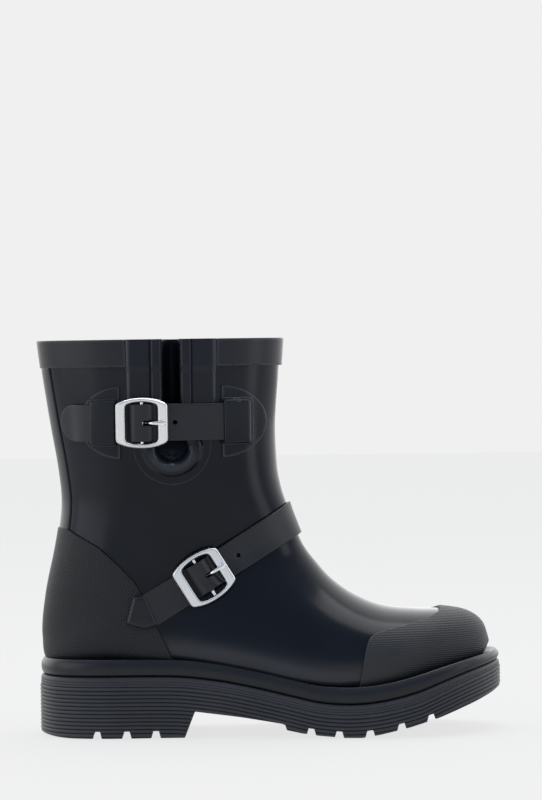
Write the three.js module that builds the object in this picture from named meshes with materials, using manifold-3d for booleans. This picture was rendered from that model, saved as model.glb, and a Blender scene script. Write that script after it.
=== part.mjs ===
// Ankle-high rubber rain boot for the right foot, in millimetres.
// +X points to the toe, +Z up, -Y is the outer (lateral) side.
// The origin is on the floor, under the middle of the outsole.
import * as THREE from 'three';
import { mergeVertices } from 'three/addons/utils/BufferGeometryUtils.js';
import Module from 'manifold-3d';

const wasm = await Module();
wasm.setup();

// ---- driving dimensions ----
const HEIGHT = 239;            // floor to the top of the collar
const EDGE = 1;                // upright edge at the top of the collar
const GAP = 0.35;              // room kept between touching pieces
const COLUMNS = 24;            // facets around the leg and foot
const ROWS = 27;               // facets from the collar to the toe
const SHELL = 2.4;             // rubber wall
const LINING = 1.3;            // textile lining
const COLLAR_WIDTH = 16.5;
const COLLAR_PROUD = 1.7;
const STAY_WIDTH = 33;
const STAY_PROUD = 1.3;
const COUNTER_PROUD = 1.7;
const CAP_PROUD = 1.8;
const COUNTER_TOP = 125.3;
const GUSSET = { x: -56.8, slot: 5.4, bottom: 175, bowl: 9, ridge: 18.5, flange: 23.5 };
const RIDGE_PROUD = 2.3;
const FLANGE_PROUD = 0.8;
const STRAP_WIDTH = 22;
const STRAP_THICK = 1.8;
const BAR_ABOVE_STRAP = 3.2;   // buckle centre bar above the underside of its strap
const STRAP_OVER_BAR = 2.35;   // underside of the strap above the middle of the bar
const BUCKLE = { long: 31.4, wide: 30.4, side: 6.3, rail: 2.9, corner: 4, thick: 2.4 };
const BAR_RADIUS = 1;
const RAND_HEIGHT = 10;
const SEAT_DROP = 4.6;         // seat of the foot below the top of the rand

// The boot's skin is a fan of flat sections from the collar to the toe. Each row holds
// back (or bottom) x, z, front (or top) x, z, half-widths outer and inner, centre y,
// where the section is widest, and how square its back (bottom) and front (top) are.
const SECTIONS = [
  [-138.0, 239, 9.3, 239, 41.0, 41.0, 0.0, 0.50, 2.10, 2.10],
  [-135.2, 217, 7.6, 217, 40.5, 40.5, 0.0, 0.50, 2.10, 2.10],
  [-130.9, 189, 5.4, 189, 39.6, 39.6, 0.0, 0.50, 2.10, 2.10],
  [-126.3, 161, 6.1, 163, 38.5, 38.5, 0.0, 0.50, 2.10, 2.05],
  [-124.7, 139, 8.3, 149, 37.4, 37.4, 0.0, 0.50, 2.10, 2.00],
  [-128.2, 115, 10.9, 140, 36.2, 36.2, 0.0, 0.50, 2.10, 2.00],
  [-134.4, 86, 13.0, 133.2, 35.2, 35.2, 0.0, 0.50, 2.15, 2.00],
  [-136.8, 60, 15.3, 127, 35.0, 35.0, 0.0, 0.48, 2.20, 2.00],
  [-131.0, 43.6, 17.6, 121, 35.2, 35.2, 0.0, 0.45, 2.60, 2.00],
  [-98.0, 42.9, 21.6, 112.3, 36.0, 35.4, 0.0, 0.42, 3.60, 2.00],
  [-56.0, 42.3, 28.0, 103.6, 37.6, 36.0, -0.5, 0.38, 4.20, 2.00],
  [-16.0, 36.9, 38.2, 92.2, 41.0, 38.5, -1.2, 0.35, 4.40, 2.00],
  [17.0, 29.2, 52.0, 82.4, 45.5, 43.0, -1.0, 0.33, 4.40, 2.05],
  [45.0, 25.9, 69.0, 75.4, 47.0, 46.0, 0.0, 0.32, 4.40, 2.10],
  [74.0, 29.0, 88.0, 73.0, 44.5, 45.0, 2.0, 0.32, 4.20, 2.20],
  [98.0, 35.2, 106.0, 72.0, 37.5, 39.0, 4.0, 0.33, 3.80, 2.30],
  [116.0, 39.9, 120.0, 69.2, 28.0, 29.5, 5.5, 0.36, 3.20, 2.30],
  [127.0, 43.6, 128.6, 63.0, 16.5, 17.5, 6.5, 0.42, 2.60, 2.20],
  [132.4, 52.0, 132.4, 52.0, 0.0, 0.0, 7.0, 0.50, 2.00, 2.00],
];
const LAST = SECTIONS.length - 1;

// Plan of the outsole: heel back first, along the outer side to the toe, and back.
const PLAN = [
  [-140.4, 0], [-130, -26.5], [-103, -38.5], [-60, -38.5], [-18, -40.5], [22, -47.5],
  [58, -52.5], [92, -48.5], [119, -35.5], [135, -16], [140.8, 6], [136, 26.5],
  [121, 40.5], [94, 49], [58, 50], [20, 42.5], [-20, 35.5], [-60, 35.5], [-103, 38], [-130, 26.5],
];
// Heights along the boot: top of the rand, and underside of the outsole.
const RAND_LINE = [[-150, 47], [-60, 46.8], [-32, 44], [-10, 39.8], [12, 34.8], [28, 31.2],
  [44, 29.9], [60, 30.6], [75, 33], [90, 36.8], [105, 41], [122, 45], [150, 49]];
const GROUND_LINE = [[-51.6, 0], [-45.4, 15.6], [-17, 11.9], [4.2, 8.5], [8.2, 4.6], [18.4, 2.6],
  [29, 1.2], [44, 0], [54, 0], [65, 1.7], [83, 5.6], [101, 10.7], [122, 18.2], [134, 22.6], [145, 27]];

const RUBBER = { color: 0x15181d, roughness: 0.42, metalness: 0 };
const MATT_RUBBER = { color: 0x202226, roughness: 0.85, metalness: 0 };
const TEXTILE = { color: 0x1b1d22, roughness: 0.95, metalness: 0 };
const BOARD = { color: 0x6d5a43, roughness: 0.9, metalness: 0 };
const STEEL = { color: 0xc9c9c6, roughness: 0.2, metalness: 1 };

// ---- small mathematics ----
function catmull(a, b, c, d, t) {
  const slopes = 0.5 * (c - a) * t + (a - 2.5 * b + 2 * c - 0.5 * d) * t * t;
  return b + slopes + 0.5 * (d - a + 3 * (b - c)) * t * t * t;
}

function sectionAt(v) {
  const k = Math.min(Math.floor(v), LAST - 1);
  const row = (i) => SECTIONS[Math.min(Math.max(i, 0), LAST)];
  return SECTIONS[0].map((_, i) => catmull(row(k - 1)[i], row(k)[i], row(k + 1)[i],
    row(k + 2)[i], v - k));
}

// Height of a line given by points, at x, with smooth turns between the points.
function lineAt(line, x) {
  const last = line.length - 1;
  if (x <= line[0][0]) return line[0][1];
  if (x >= line[last][0]) return line[last][1];
  const k = line.findIndex((point) => point[0] > x) - 1;
  const slope = (i) => {
    const a = line[Math.max(i - 1, 0)];
    const b = line[Math.min(i + 1, last)];
    return (b[1] - a[1]) / (b[0] - a[0]);
  };
  const [x0, y0] = line[k];
  const [x1, y1] = line[k + 1];
  const w = x1 - x0;
  const t = (x - x0) / w;
  const rise = y1 - y0 - w * slope(k);
  const ease = w * (slope(k) + slope(k + 1)) - 2 * (y1 - y0);
  return y0 + w * slope(k) * t + (rise - ease) * t * t + ease * t * t * t;
}
const randTop = (x) => lineAt(RAND_LINE, x);

// ---- the skin of the boot ----
// u runs from the back or bottom (0) over the outer side to the front or top (pi).
function skin(u, v) {
  const [bx, bz, fx, fz, outer, inner, middle, widest, rear, front] = sectionAt(v);
  const c = Math.cos(u);
  const power = 2 / (c > 0 ? rear : front);
  const reach = Math.abs(c) ** power;
  const s = c > 0 ? widest * (1 - reach) : widest + (1 - widest) * reach;
  const side = Math.sin(u);
  const half = (side > 0 ? -outer : inner) * Math.abs(side) ** power;
  return new THREE.Vector3(bx + (fx - bx) * s, middle + half, bz + (fz - bz) * s);
}

function skinNormal(u, v) {
  const du = 0.02;
  const dv = 0.02;
  const across = skin(u + du, v).sub(skin(u - du, v));
  const low = Math.max(v - dv, 0);
  const high = Math.min(v + dv, LAST - 0.001);
  const along = skin(u, high).sub(skin(u, low));
  return across.cross(along).normalize().negate();
}

function offsetSkin(u, v, offset) {
  return skin(u, v).addScaledVector(skinNormal(u, v), offset);
}

// Place on the outer side of the skin, as (u, v), of a point in the side view.
function placeOnSide(x, z) {
  let low = 0;
  let high = LAST - 0.5;
  const above = (v) => {
    const [bx, bz, fx, fz] = sectionAt(v);
    return (fx - bx) * (z - bz) - (fz - bz) * (x - bx) > 0;
  };
  for (let i = 0; i < 40; i += 1) {
    const middle = (low + high) / 2;
    if (above(middle)) high = middle;
    else low = middle;
  }
  const [bx, bz, fx, fz, , , , widest, rear, front] = sectionAt(low);
  const s = ((x - bx) * (fx - bx) + (z - bz) * (fz - bz)) / ((fx - bx) ** 2 + (fz - bz) ** 2);
  const clamp = (value) => Math.min(Math.max(value, 0), 1);
  const c = s < widest ? clamp((widest - s) / widest) ** (rear / 2)
    : -(clamp((s - widest) / (1 - widest)) ** (front / 2));
  return { u: Math.acos(c), v: low };
}

// ---- solids ----
function solid(geometry) {
  geometry.deleteAttribute('normal');
  geometry.deleteAttribute('uv');
  const merged = mergeVertices(geometry, 1e-4);
  const triangles = Array.from(merged.index.array);
  return new wasm.Manifold(new wasm.Mesh({
    numProp: 3,
    vertProperties: new Float32Array(merged.attributes.position.array),
    triVerts: new Uint32Array(triangles),
  }));
}

function geometryOf(manifold) {
  const mesh = manifold.getMesh();
  const geometry = new THREE.BufferGeometry();
  const positions = new Float32Array(mesh.vertProperties);
  geometry.setAttribute('position', new THREE.BufferAttribute(positions, 3));
  geometry.setIndex(Array.from(mesh.triVerts));
  return geometry;
}

function fromLists(points, faces) {
  const geometry = new THREE.BufferGeometry();
  const flat = points.flatMap((p) => [p.x, p.y, p.z]);
  geometry.setAttribute('position', new THREE.BufferAttribute(new Float32Array(flat), 3));
  geometry.setIndex(faces.flat());
  return geometry;
}

// The full body inside the skin moved out by offset. Its flat top is at the collar's
// height, or goes straight up from there by lift.
function body(offset, lift = 0) {
  const points = [];
  const faces = [];
  const rows = ROWS + 1;
  for (let j = 0; j < rows; j += 1) {
    for (let i = 0; i < COLUMNS; i += 1) {
      const v = (LAST * Math.max(j - 1, 0)) / ROWS;
      const p = offsetSkin((2 * Math.PI * i) / COLUMNS, v, offset);
      if (j < 2) p.z = HEIGHT - (j === 0 ? -lift : EDGE);
      points.push(p);
    }
  }
  const tip = points.push(new THREE.Vector3(SECTIONS[LAST][0] + offset, SECTIONS[LAST][6],
    SECTIONS[LAST][1])) - 1;
  const lid = points.push(new THREE.Vector3(-64, 0, HEIGHT + lift)) - 1;
  for (let i = 0; i < COLUMNS; i += 1) {
    const next = (i + 1) % COLUMNS;
    for (let j = 0; j < rows - 1; j += 1) {
      const a = j * COLUMNS;
      const b = a + COLUMNS;
      faces.push([a + i, b + i, b + next], [a + i, b + next, a + next]);
    }
    faces.push([(rows - 1) * COLUMNS + i, tip, (rows - 1) * COLUMNS + next]);
    faces.push([i, next, lid]);
  }
  return solid(fromLists(points, faces));
}

// A layer on the skin, from one offset to another.
function layer(low, high) {
  return body(high).subtract(body(low, 10));
}

function outline(points) {
  return new THREE.Shape(points.map(([x, y]) => new THREE.Vector2(x, y)));
}

// A prism standing on a side-view outline (x, z), from y0 to y1.
function sidePrism(points, y0 = -90, y1 = 90) {
  const geometry = new THREE.ExtrudeGeometry(outline(points), { depth: y1 - y0, bevelEnabled: false });
  return solid(geometry.rotateX(Math.PI / 2).translate(0, y1, 0));
}

function planPrism(points, z0, z1) {
  const geometry = new THREE.ExtrudeGeometry(outline(points), { depth: z1 - z0, bevelEnabled: false });
  return solid(geometry.translate(0, 0, z0));
}

function block(low, high) {
  const size = high.map((value, i) => value - low[i]);
  const geometry = new THREE.BoxGeometry(...size);
  return solid(geometry.translate(...low.map((value, i) => value + size[i] / 2)));
}

// ---- the sole's plan outline and slabs ----
function planPoint(t, inset) {
  const n = PLAN.length;
  const at = (time) => {
    const k = Math.floor(time);
    const p = (i) => PLAN[(((k + i) % n) + n) % n];
    return [0, 1].map((i) => catmull(p(-1)[i], p(0)[i], p(1)[i], p(2)[i], time - k));
  };
  const [x, y] = at(t);
  const [ax, ay] = at(t - 0.02);
  const [bx, by] = at(t + 0.02);
  const length = Math.hypot(bx - ax, by - ay);
  return [x - ((by - ay) / length) * inset, y + ((bx - ax) / length) * inset];
}

// A slab built from rings of (inset, height over x), from the lowest to the highest.
function slab(rings, count = 44) {
  const points = [];
  const faces = [];
  rings.forEach(([inset, height]) => {
    for (let i = 0; i < count; i += 1) {
      const [x, y] = planPoint((i * PLAN.length) / count, inset);
      points.push(new THREE.Vector3(x, y, height(x)));
    }
  });
  for (let j = 0; j < rings.length - 1; j += 1) {
    for (let i = 0; i < count; i += 1) {
      const a = j * count + i;
      const b = j * count + ((i + 1) % count);
      faces.push([a, b, b + count], [a, b + count, a + count]);
    }
  }
  const top = (rings.length - 1) * count;
  for (let i = 0; i < count / 2; i += 1) {
    const [p, q, r, s] = [i, i + 1, count - i - 1, (count - i) % count];
    if (r !== q) faces.push([p, r, q], [top + p, top + q, top + r]);
    if (s !== p) faces.push([p, s, r], [top + p, top + r, top + s]);
  }
  return solid(fromLists(points, faces));
}

const toeShare = (x) => 1 - 0.4 * Math.min(Math.max((x - 90) / 50, 0), 1);
const grooveLine = (x) => randTop(x) - RAND_HEIGHT * toeShare(x);
const lipLine = (x) => randTop(x) - 16.4 * toeShare(x);
const seatLine = (x) => randTop(x) - SEAT_DROP;

// ---- upper ----
const foot = body(GAP, 20);

function gussetOutline(slot, bowl, top = HEIGHT + 20) {
  const { x, bottom } = GUSSET;
  const steps = 8;
  const arc = Array.from({ length: steps + 1 }, (_, i) => {
    const angle = Math.PI + (Math.PI * i) / steps;
    return [x + bowl * Math.cos(angle), bottom + bowl * Math.sin(angle)];
  });
  return [[x - slot, top], [x - slot, bottom + bowl], ...arc, [x + slot, bottom + bowl], [x + slot, top]];
}
const gussetHole = (extra) => sidePrism(gussetOutline(GUSSET.slot + extra, GUSSET.bowl + extra), -90, -22);

function upperShell() {
  return body(0).subtract(body(-SHELL, 10)).subtract(gussetHole(0));
}

function lining() {
  const outside = SHELL + GAP;
  const sock = body(-outside).subtract(body(-outside - LINING, 10));
  const trimmed = sock.subtract(block([-150, -60, HEIGHT - 2], [30, 60, HEIGHT + 20]));
  return trimmed.subtract(gussetHole(GAP));
}

// The pleat: a trough behind the slot, open to the outside and at the top.
function gussetPanel() {
  const back = -27;
  const wall = 1.2;
  const { slot, bowl } = GUSSET;
  const trough = sidePrism(gussetOutline(slot - GAP, bowl - GAP, HEIGHT - 0.5), -60, back);
  const hollow = sidePrism(gussetOutline(slot - GAP - wall, bowl - GAP - wall), -70, back - wall);
  return trough.subtract(hollow).intersect(body(-0.2));
}

function gussetRim() {
  const { slot, bowl, ridge, flange } = GUSSET;
  const lower = -90;
  const wide = sidePrism(gussetOutline(flange + 3, flange, HEIGHT + 2), lower, -5);
  const raised = sidePrism(gussetOutline(13, ridge, HEIGHT + 2), lower, -5);
  const plate = layer(GAP, GAP + FLANGE_PROUD).intersect(wide);
  const ring = layer(GAP, GAP + RIDGE_PROUD).intersect(raised);
  return plate.add(ring).subtract(sidePrism(gussetOutline(slot, bowl), lower, -5));
}

function collarBand() {
  const low = HEIGHT - COLLAR_WIDTH;
  const { x, flange } = GUSSET;
  const opening = block([x - flange - 3 - GAP, -80, low - 5], [x + flange + 3 + GAP, -10, HEIGHT + 9]);
  const band = layer(GAP, COLLAR_PROUD).intersect(block([-160, -80, low], [40, 80, HEIGHT + 5]));
  return band.subtract(opening);
}

function backStay() {
  const half = STAY_WIDTH / 2;
  const top = HEIGHT - COLLAR_WIDTH - GAP;
  const strip = block([-160, -half, COUNTER_TOP + GAP], [-90, half, top]);
  return layer(GAP, STAY_PROUD).intersect(strip);
}

function heelCounter() {
  const edge = [[-150, COUNTER_TOP], [-122, COUNTER_TOP], [-115.7, 121.9], [-101.4, 114],
    [-90.3, 103.7], [-80.4, 93.5], [-67.3, 66.6], [-57.6, 47.8], [-150, 47.8]];
  return layer(GAP, COUNTER_PROUD).intersect(sidePrism(edge));
}

function toeCap() {
  const side = [[51.5, 30], [55, 40.4], [58.6, 58], [58.6, 95], [150, 95], [150, 30]];
  const notch = [[40, -60], [57.5, -45], [63, -40.5], [73, -36.5], [86, -28.5], [96, -20],
    [101, -12.5], [103, -4], [103.2, 4], [102.4, 13], [98, 23], [88, 33], [73, 41], [57.5, 49], [40, 62]];
  const aboveRand = slab([[-9, (x) => randTop(x) + GAP], [-9, () => 120]]);
  const cap = layer(GAP, CAP_PROUD).intersect(sidePrism(side)).intersect(aboveRand);
  return cap.subtract(planPrism(notch, 52, 95));
}

// ---- sole ----
function rand() {
  const cup = slab([[2.4, grooveLine], [0.7, (x) => grooveLine(x) + 2.5],
    [1.2, (x) => randTop(x) - 3], [3.4, randTop]]);
  return cup.subtract(foot);
}

const HEEL_CORE = { x: [-122, -62], y: 25, z: [12, 30] };
const SHANK = { x: [-58, 22], y: 7, thick: 1.6 };

// Gaps across the tread, by their middles along the boot: they narrow towards the top.
const CLEAT_GAPS = { heel: [-104.3, -86.4, -68.9], ball: [24, 40.6, 59, 78, 96],
  heelWidth: 3.8, ballWidth: 4.6, depth: 4.4 };

function cleatGap(x, width, top) {
  const half = width / 2;
  return sidePrism([[x - half - 1, -9], [x - half + 0.6, top], [x + half - 0.6, top], [x + half + 1, -9]]);
}

function outsole() {
  const inset = 1.3;
  const under = (drop) => (x) => grooveLine(x) - GAP - drop;
  const full = slab([[2.2, () => 0], [0, () => 2.5], [0, (x) => Math.max(lipLine(x), 3)],
    [inset, (x) => Math.max(lipLine(x) + 0.8, 3.4)], [inset, under(0.9)], [2.4, under(0)]]);
  const arch = sidePrism([[-51.6, -5], ...GROUND_LINE.slice(0, 8), [44, -5]]);
  const spring = sidePrism([[54, -5], ...GROUND_LINE.slice(8), [150, -5]]);
  let made = full.subtract(arch).subtract(spring);
  const { heel, ball, heelWidth, ballWidth, depth } = CLEAT_GAPS;
  heel.forEach((x) => {
    made = made.subtract(cleatGap(x, heelWidth, depth));
  });
  ball.forEach((x) => {
    made = made.subtract(cleatGap(x, ballWidth, lineAt(GROUND_LINE, x) + depth - 1));
  });
  const { x, y, z } = HEEL_CORE;
  made = made.subtract(block([x[0], -y, z[0]], [x[1], y, 60]));
  return made.subtract(sidePrism(shankOutline(GAP, 60), -SHANK.y - GAP, SHANK.y + GAP));
}

function heelCore() {
  const { x, y, z } = HEEL_CORE;
  return block([x[0] + GAP, GAP - y, z[0] + GAP], [x[1] - GAP, y - GAP, z[1] + 6]);
}

// The steel strip lies in a groove in the top of the outsole, under the arch.
function shankOutline(grow, lift) {
  const steps = 8;
  const [start, end] = [SHANK.x[0] - grow, SHANK.x[1] + grow];
  const xs = Array.from({ length: steps + 1 }, (_, i) => start + ((end - start) * i) / steps);
  const base = (x) => grooveLine(x) - GAP * 2 - SHANK.thick;
  const lower = xs.map((x) => [x, base(x) - grow]);
  const upper = xs.map((x) => [x, base(x) + SHANK.thick + lift]).reverse();
  return [...lower, ...upper];
}
const shank = () => sidePrism(shankOutline(0, 0), -SHANK.y, SHANK.y);

// Flat inner pieces follow the seat of the foot between two heights above it.
function inside(low, high, margin) {
  const start = -128 + margin;
  const end = 122 - margin;
  const steps = 14;
  const xs = Array.from({ length: steps + 1 }, (_, i) => start + ((end - start) * i) / steps);
  const base = (x) => seatLine(x) + GAP * 2 + SHELL + LINING;
  const lower = xs.map((x) => [x, base(x) + low]);
  const upper = xs.map((x) => [x, base(x) + high]).reverse();
  return body(-(SHELL + LINING + 2 * GAP)).intersect(sidePrism([...lower, ...upper]));
}
const insoleBoard = () => inside(1.0, 2.6, 5);
const footbed = () => inside(3.0, 7.0, 1);

// ---- straps and buckles ----
// How far a strap is lifted by its buckle's centre bar, as a share, over the distance.
const HUMP = [[-12, 0], [-8.2, 0], [-5.6, 0.44], [-2.8, 0.87], [0, 1], [2.8, 0.87], [5.6, 0.44],
  [8.2, 0], [12, 0]];
const HUMP_HEIGHT = BAR_ABOVE_STRAP + STRAP_OVER_BAR;
const NEAR_BUCKLE = [-15, -12, -8.2, -6.9, -5.6, -4.2, -2.8, -1.4, 0, 1.4, 2.8, 4.2, 5.6, 6.9, 8.2,
  12, 15];
const PLAIN_STEP = 9;          // facet length of a strap away from its buckle

// The v where, at angle u, the skin crosses a plane across the boot: {x, z, slope} in side view.
function crossing(u, plane) {
  let low = 0.2;
  let high = 10;
  for (let i = 0; i < 24; i += 1) {
    const middle = (low + high) / 2;
    const p = skin(u, middle);
    if (p.z > plane.z + plane.slope * (p.x - plane.x)) low = middle;
    else high = middle;
  }
  return low;
}

// A strap's course: distances along the skin, in a plane, from angle u0 to u1.
function course(plane, u0, u1) {
  const count = 200;
  const angles = Array.from({ length: count + 1 }, (_, i) => u0 + ((u1 - u0) * i) / count);
  const places = angles.map((u) => skin(u, crossing(u, plane)));
  const travel = [0];
  for (let i = 1; i <= count; i += 1) travel.push(travel[i - 1] + places[i].distanceTo(places[i - 1]));
  const angleAt = (distance) => {
    const found = travel.findIndex((t) => t > Math.max(distance, 0));
    const k = found < 0 ? count : found;
    const share = (distance - travel[k - 1]) / (travel[k] - travel[k - 1]);
    return angles[k - 1] + share * (angles[k] - angles[k - 1]);
  };
  return { length: travel[count], angleAt, distanceOf: (u) => travel[angles.findIndex((a) => a >= u)] };
}

// The place on the skin reached from (u, v) by going a distance in a direction.
function stepOnSkin(u, v, direction, distance) {
  const d = 0.02;
  const steps = 8;
  const stride = distance / steps;
  let place = [u, v];
  for (let i = 0; i < steps; i += 1) {
    const [a, b] = place;
    const su = skin(a + d, b).sub(skin(a - d, b)).divideScalar(2 * d);
    const sv = skin(a, b + d).sub(skin(a, b - d)).divideScalar(2 * d);
    const [uu, uv, vv] = [su.dot(su), su.dot(sv), sv.dot(sv)];
    const [gu, gv] = [su.dot(direction) * stride, sv.dot(direction) * stride];
    const scale = uu * vv - uv * uv;
    place = [a + (gu * vv - gv * uv) / scale, b + (gv * uu - gu * uv) / scale];
  }
  return place;
}

function stopsAlong(length, hub) {
  const spread = (from, to) => {
    const count = Math.max(Math.round((to - from) / PLAIN_STEP), 1);
    return Array.from({ length: count }, (_, i) => from + ((to - from) * i) / count);
  };
  const near = NEAR_BUCKLE.map((distance) => hub + distance);
  return [...spread(0, near[0]), ...near.slice(0, -1), ...spread(near[near.length - 1], length), length];
}

// A band along the skin. base gives the height of its underside over the distances
// from its buckle and from its nearer end. grow makes it thicker on every side.
function band({ plane, u0, u1, width, base, hub }, grow) {
  const path = course(plane, u0, u1);
  const hubDistance = path.distanceOf(hub);
  const stops = stopsAlong(path.length, hubDistance);
  const last = stops.length - 1;
  const points = [];
  const faces = [];
  const cross = [-1, 0, 1];
  stops.forEach((stop, i) => {
    const past = i === 0 ? -grow : grow * (i === last);
    const u = path.angleAt(stop + past);
    const v = crossing(u, plane);
    const along = skin(u + 0.02, crossing(u + 0.02, plane)).sub(skin(u - 0.02, crossing(u - 0.02, plane)));
    const down = along.cross(skinNormal(u, v)).normalize();
    const fromHub = stop - hubDistance;
    const rise = base(fromHub, Math.min(stop, path.length - stop)) + HUMP_HEIGHT * lineAt(HUMP, fromHub);
    [rise - grow, rise + STRAP_THICK + grow].forEach((offset) => {
      cross.forEach((side) => {
        const place = stepOnSkin(u, v, down, side * (width / 2 + grow));
        points.push(offsetSkin(...place, offset));
      });
    });
  });
  const n = cross.length;
  const ring = [0, 1, 2, n + 2, n + 1, n];
  for (let i = 0; i < last; i += 1) {
    ring.forEach((a, k) => {
      const b = ring[(k + 1) % ring.length];
      const [p, q] = [i * 2 * n, (i + 1) * 2 * n];
      faces.push([p + a, q + b, p + b], [p + a, q + a, q + b]);
    });
  }
  const end = last * 2 * n;
  const caps = [[0, n, n + 1], [0, n + 1, 1], [1, n + 1, n + 2], [1, n + 2, 2]];
  caps.forEach(([a, b, c]) => faces.push([a, c, b], [end + a, end + b, end + c]));
  return solid(fromLists(points, faces));
}

// A buckle's own frame: x along the strap, y across it, z away from the boot.
function buckleFrame(hub, forward, strapBase) {
  const point = skin(hub.u, hub.v);
  const out = skinNormal(hub.u, hub.v);
  const along = forward.clone().addScaledVector(out, -forward.dot(out)).normalize();
  const across = new THREE.Vector3().crossVectors(out, along);
  const group = new THREE.Group();
  group.position.copy(point.addScaledVector(out, strapBase + BAR_ABOVE_STRAP));
  group.quaternion.setFromRotationMatrix(new THREE.Matrix4().makeBasis(along, across, out));
  group.updateMatrix();
  return group;
}

function roundedRectangle(x, y, radius) {
  const shape = new THREE.Shape();
  shape.moveTo(radius - x, -y).lineTo(x - radius, -y);
  shape.absarc(x - radius, radius - y, radius, -Math.PI / 2, 0);
  shape.lineTo(x, y - radius).absarc(x - radius, y - radius, radius, 0, Math.PI / 2);
  shape.lineTo(radius - x, y).absarc(radius - x, y - radius, radius, Math.PI / 2, Math.PI);
  shape.lineTo(-x, radius - y).absarc(radius - x, radius - y, radius, Math.PI, 1.5 * Math.PI);
  return shape;
}

function buckleRing() {
  const { long, wide, side, rail, corner, thick } = BUCKLE;
  const shape = roundedRectangle(long / 2, wide / 2, corner);
  shape.holes.push(roundedRectangle(long / 2 - side, wide / 2 - rail, 1.6));
  const settings = { depth: thick, bevelEnabled: false, curveSegments: 4 };
  const geometry = new THREE.ExtrudeGeometry(shape, settings);
  return solid(geometry.translate(0, 0, 0.1));
}

function buckleBar() {
  const length = BUCKLE.wide - 2 * BUCKLE.rail - 2 * GAP;
  return solid(new THREE.CylinderGeometry(BAR_RADIUS, BAR_RADIUS, length, 12));
}

function eyeProfile(hole, points) {
  const shape = outline(points);
  shape.holes.push(new THREE.Path().absarc(0, 0, hole, 0, 2 * Math.PI, true));
  return shape;
}

function arcPoints(radius, from, to, steps) {
  return Array.from({ length: steps + 1 }, (_, i) => {
    const angle = from + ((to - from) * i) / steps;
    return [radius * Math.cos(angle), radius * Math.sin(angle)];
  });
}

function acrossStrap(shape, width) {
  const settings = { depth: width, bevelEnabled: false, curveSegments: 8 };
  const geometry = new THREE.ExtrudeGeometry(shape, settings);
  return solid(geometry.rotateX(Math.PI / 2).translate(0, width / 2, 0));
}

function prong() {
  const eye = arcPoints(2, 1.2, 2 * Math.PI - 0.1, 9);
  const shank = [[4.6, 1.05], [8.4, 2.75], [13.2, 2.75], [13.9, 3.4], [13.2, 4.2], [8, 4.2], [4.4, 2.7]];
  return acrossStrap(eyeProfile(BAR_RADIUS + 0.3, [...eye, ...shank]), 2.2);
}

function chape(width) {
  const eye = arcPoints(1.95, -0.54 * Math.PI, 1.11 * Math.PI, 10);
  const tail = [[-4, -3.6], [-13, -4.15], [-13, -4.85], [-3.6, -4.3]];
  const full = acrossStrap(eyeProfile(BAR_RADIUS + 0.3, [...eye, ...tail]), width);
  return full.subtract(block([-2.6, -1.5, -5], [5, 1.5, 5]));
}

const CALF_BASE = 3.0;         // underside of the calf strap above the skin
const INSTEP_BASE = [0.6, 2.45];   // underside of the instep strap: plain, and over the counter
const CALF_HUB = placeOnSide(-73.9, 189.4);
const INSTEP_HUB = placeOnSide(-39.6, 96);
const CALF_PLANE = { x: 0, z: 189.4, slope: 0 };
const INSTEP_PLANE = { x: -39.6, z: 96, slope: 0.61 };
const CALF = buckleFrame(CALF_HUB, new THREE.Vector3(1, 0, 0), CALF_BASE);
const INSTEP = buckleFrame(INSTEP_HUB, new THREE.Vector3(1, 0, INSTEP_PLANE.slope), INSTEP_BASE[1]);

// A strap hole near a buckle is a slot that leaves the prong room to lift.
const prongSlot = (frame) => block([0.4, -1.6, -4], [7.4, 1.6, 6]).transform(frame.matrix.elements);
const punched = (frame, x) => solid(new THREE.CylinderGeometry(1.3, 1.3, 24, 10)
  .rotateX(Math.PI / 2).translate(x, 0, 0)).transform(frame.matrix.elements);

function calfStrapBand(grow) {
  const [u0, u1] = [-122, -14].map((x) => placeOnSide(x, 189.4).u);
  const shape = { plane: CALF_PLANE, u0, u1, width: STRAP_WIDTH };
  return band({ ...shape, base: () => CALF_BASE, hub: CALF_HUB.u }, grow);
}
const calfStrap = () => calfStrapBand(0).subtract(prongSlot(CALF)).subtract(punched(CALF, 19));

function instepBase(fromHub, fromEnd) {
  const ease = (t) => { const c = Math.min(Math.max(t, 0), 1); return c * c * (3 - 2 * c); };
  const raised = Math.max(ease((34 - fromHub) / 18), ease((20 - fromEnd) / 10));
  return INSTEP_BASE[0] + (INSTEP_BASE[1] - INSTEP_BASE[0]) * raised;
}
function instepStrapBand(grow) {
  const u0 = placeOnSide(-73, 75).u;
  const shape = { plane: INSTEP_PLANE, u0, u1: 2 * Math.PI - u0, width: STRAP_WIDTH - 2 };
  return band({ ...shape, base: instepBase, hub: INSTEP_HUB.u }, grow);
}
const instepStrap = () => instepStrapBand(0).subtract(prongSlot(INSTEP)).subtract(punched(INSTEP, 24.5));

// D-shaped anchors; facing is +1 when the round side points to the toe.
function anchorOutline(x, facing, reach) {
  const half = 21.6;
  const arc = Array.from({ length: 11 }, (_, i) => {
    const angle = -Math.PI / 2 + (Math.PI * i) / 10;
    return [x + facing * reach * Math.cos(angle), 189.3 + half * Math.sin(angle)];
  });
  return facing > 0 ? arc : arc.reverse();
}

function anchor(x, facing, reach, tunnel) {
  const plate = layer(GAP, 1.7).intersect(sidePrism(anchorOutline(x, facing, reach), -90, -3));
  const [start, end] = tunnel;
  const hood = sidePrism([[start, 176], [end, 176], [end, 202.8], [start, 202.8]], -90, -3);
  return plate.add(layer(GAP, 6.4).intersect(hood)).subtract(calfStrapBand(GAP));
}
const frontAnchor = () => anchor(-27, 1, 26, [-27, -12.4]);
const rearAnchor = () => anchor(-87.6, -1, 24.5, [-103.6, -89]);

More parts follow.
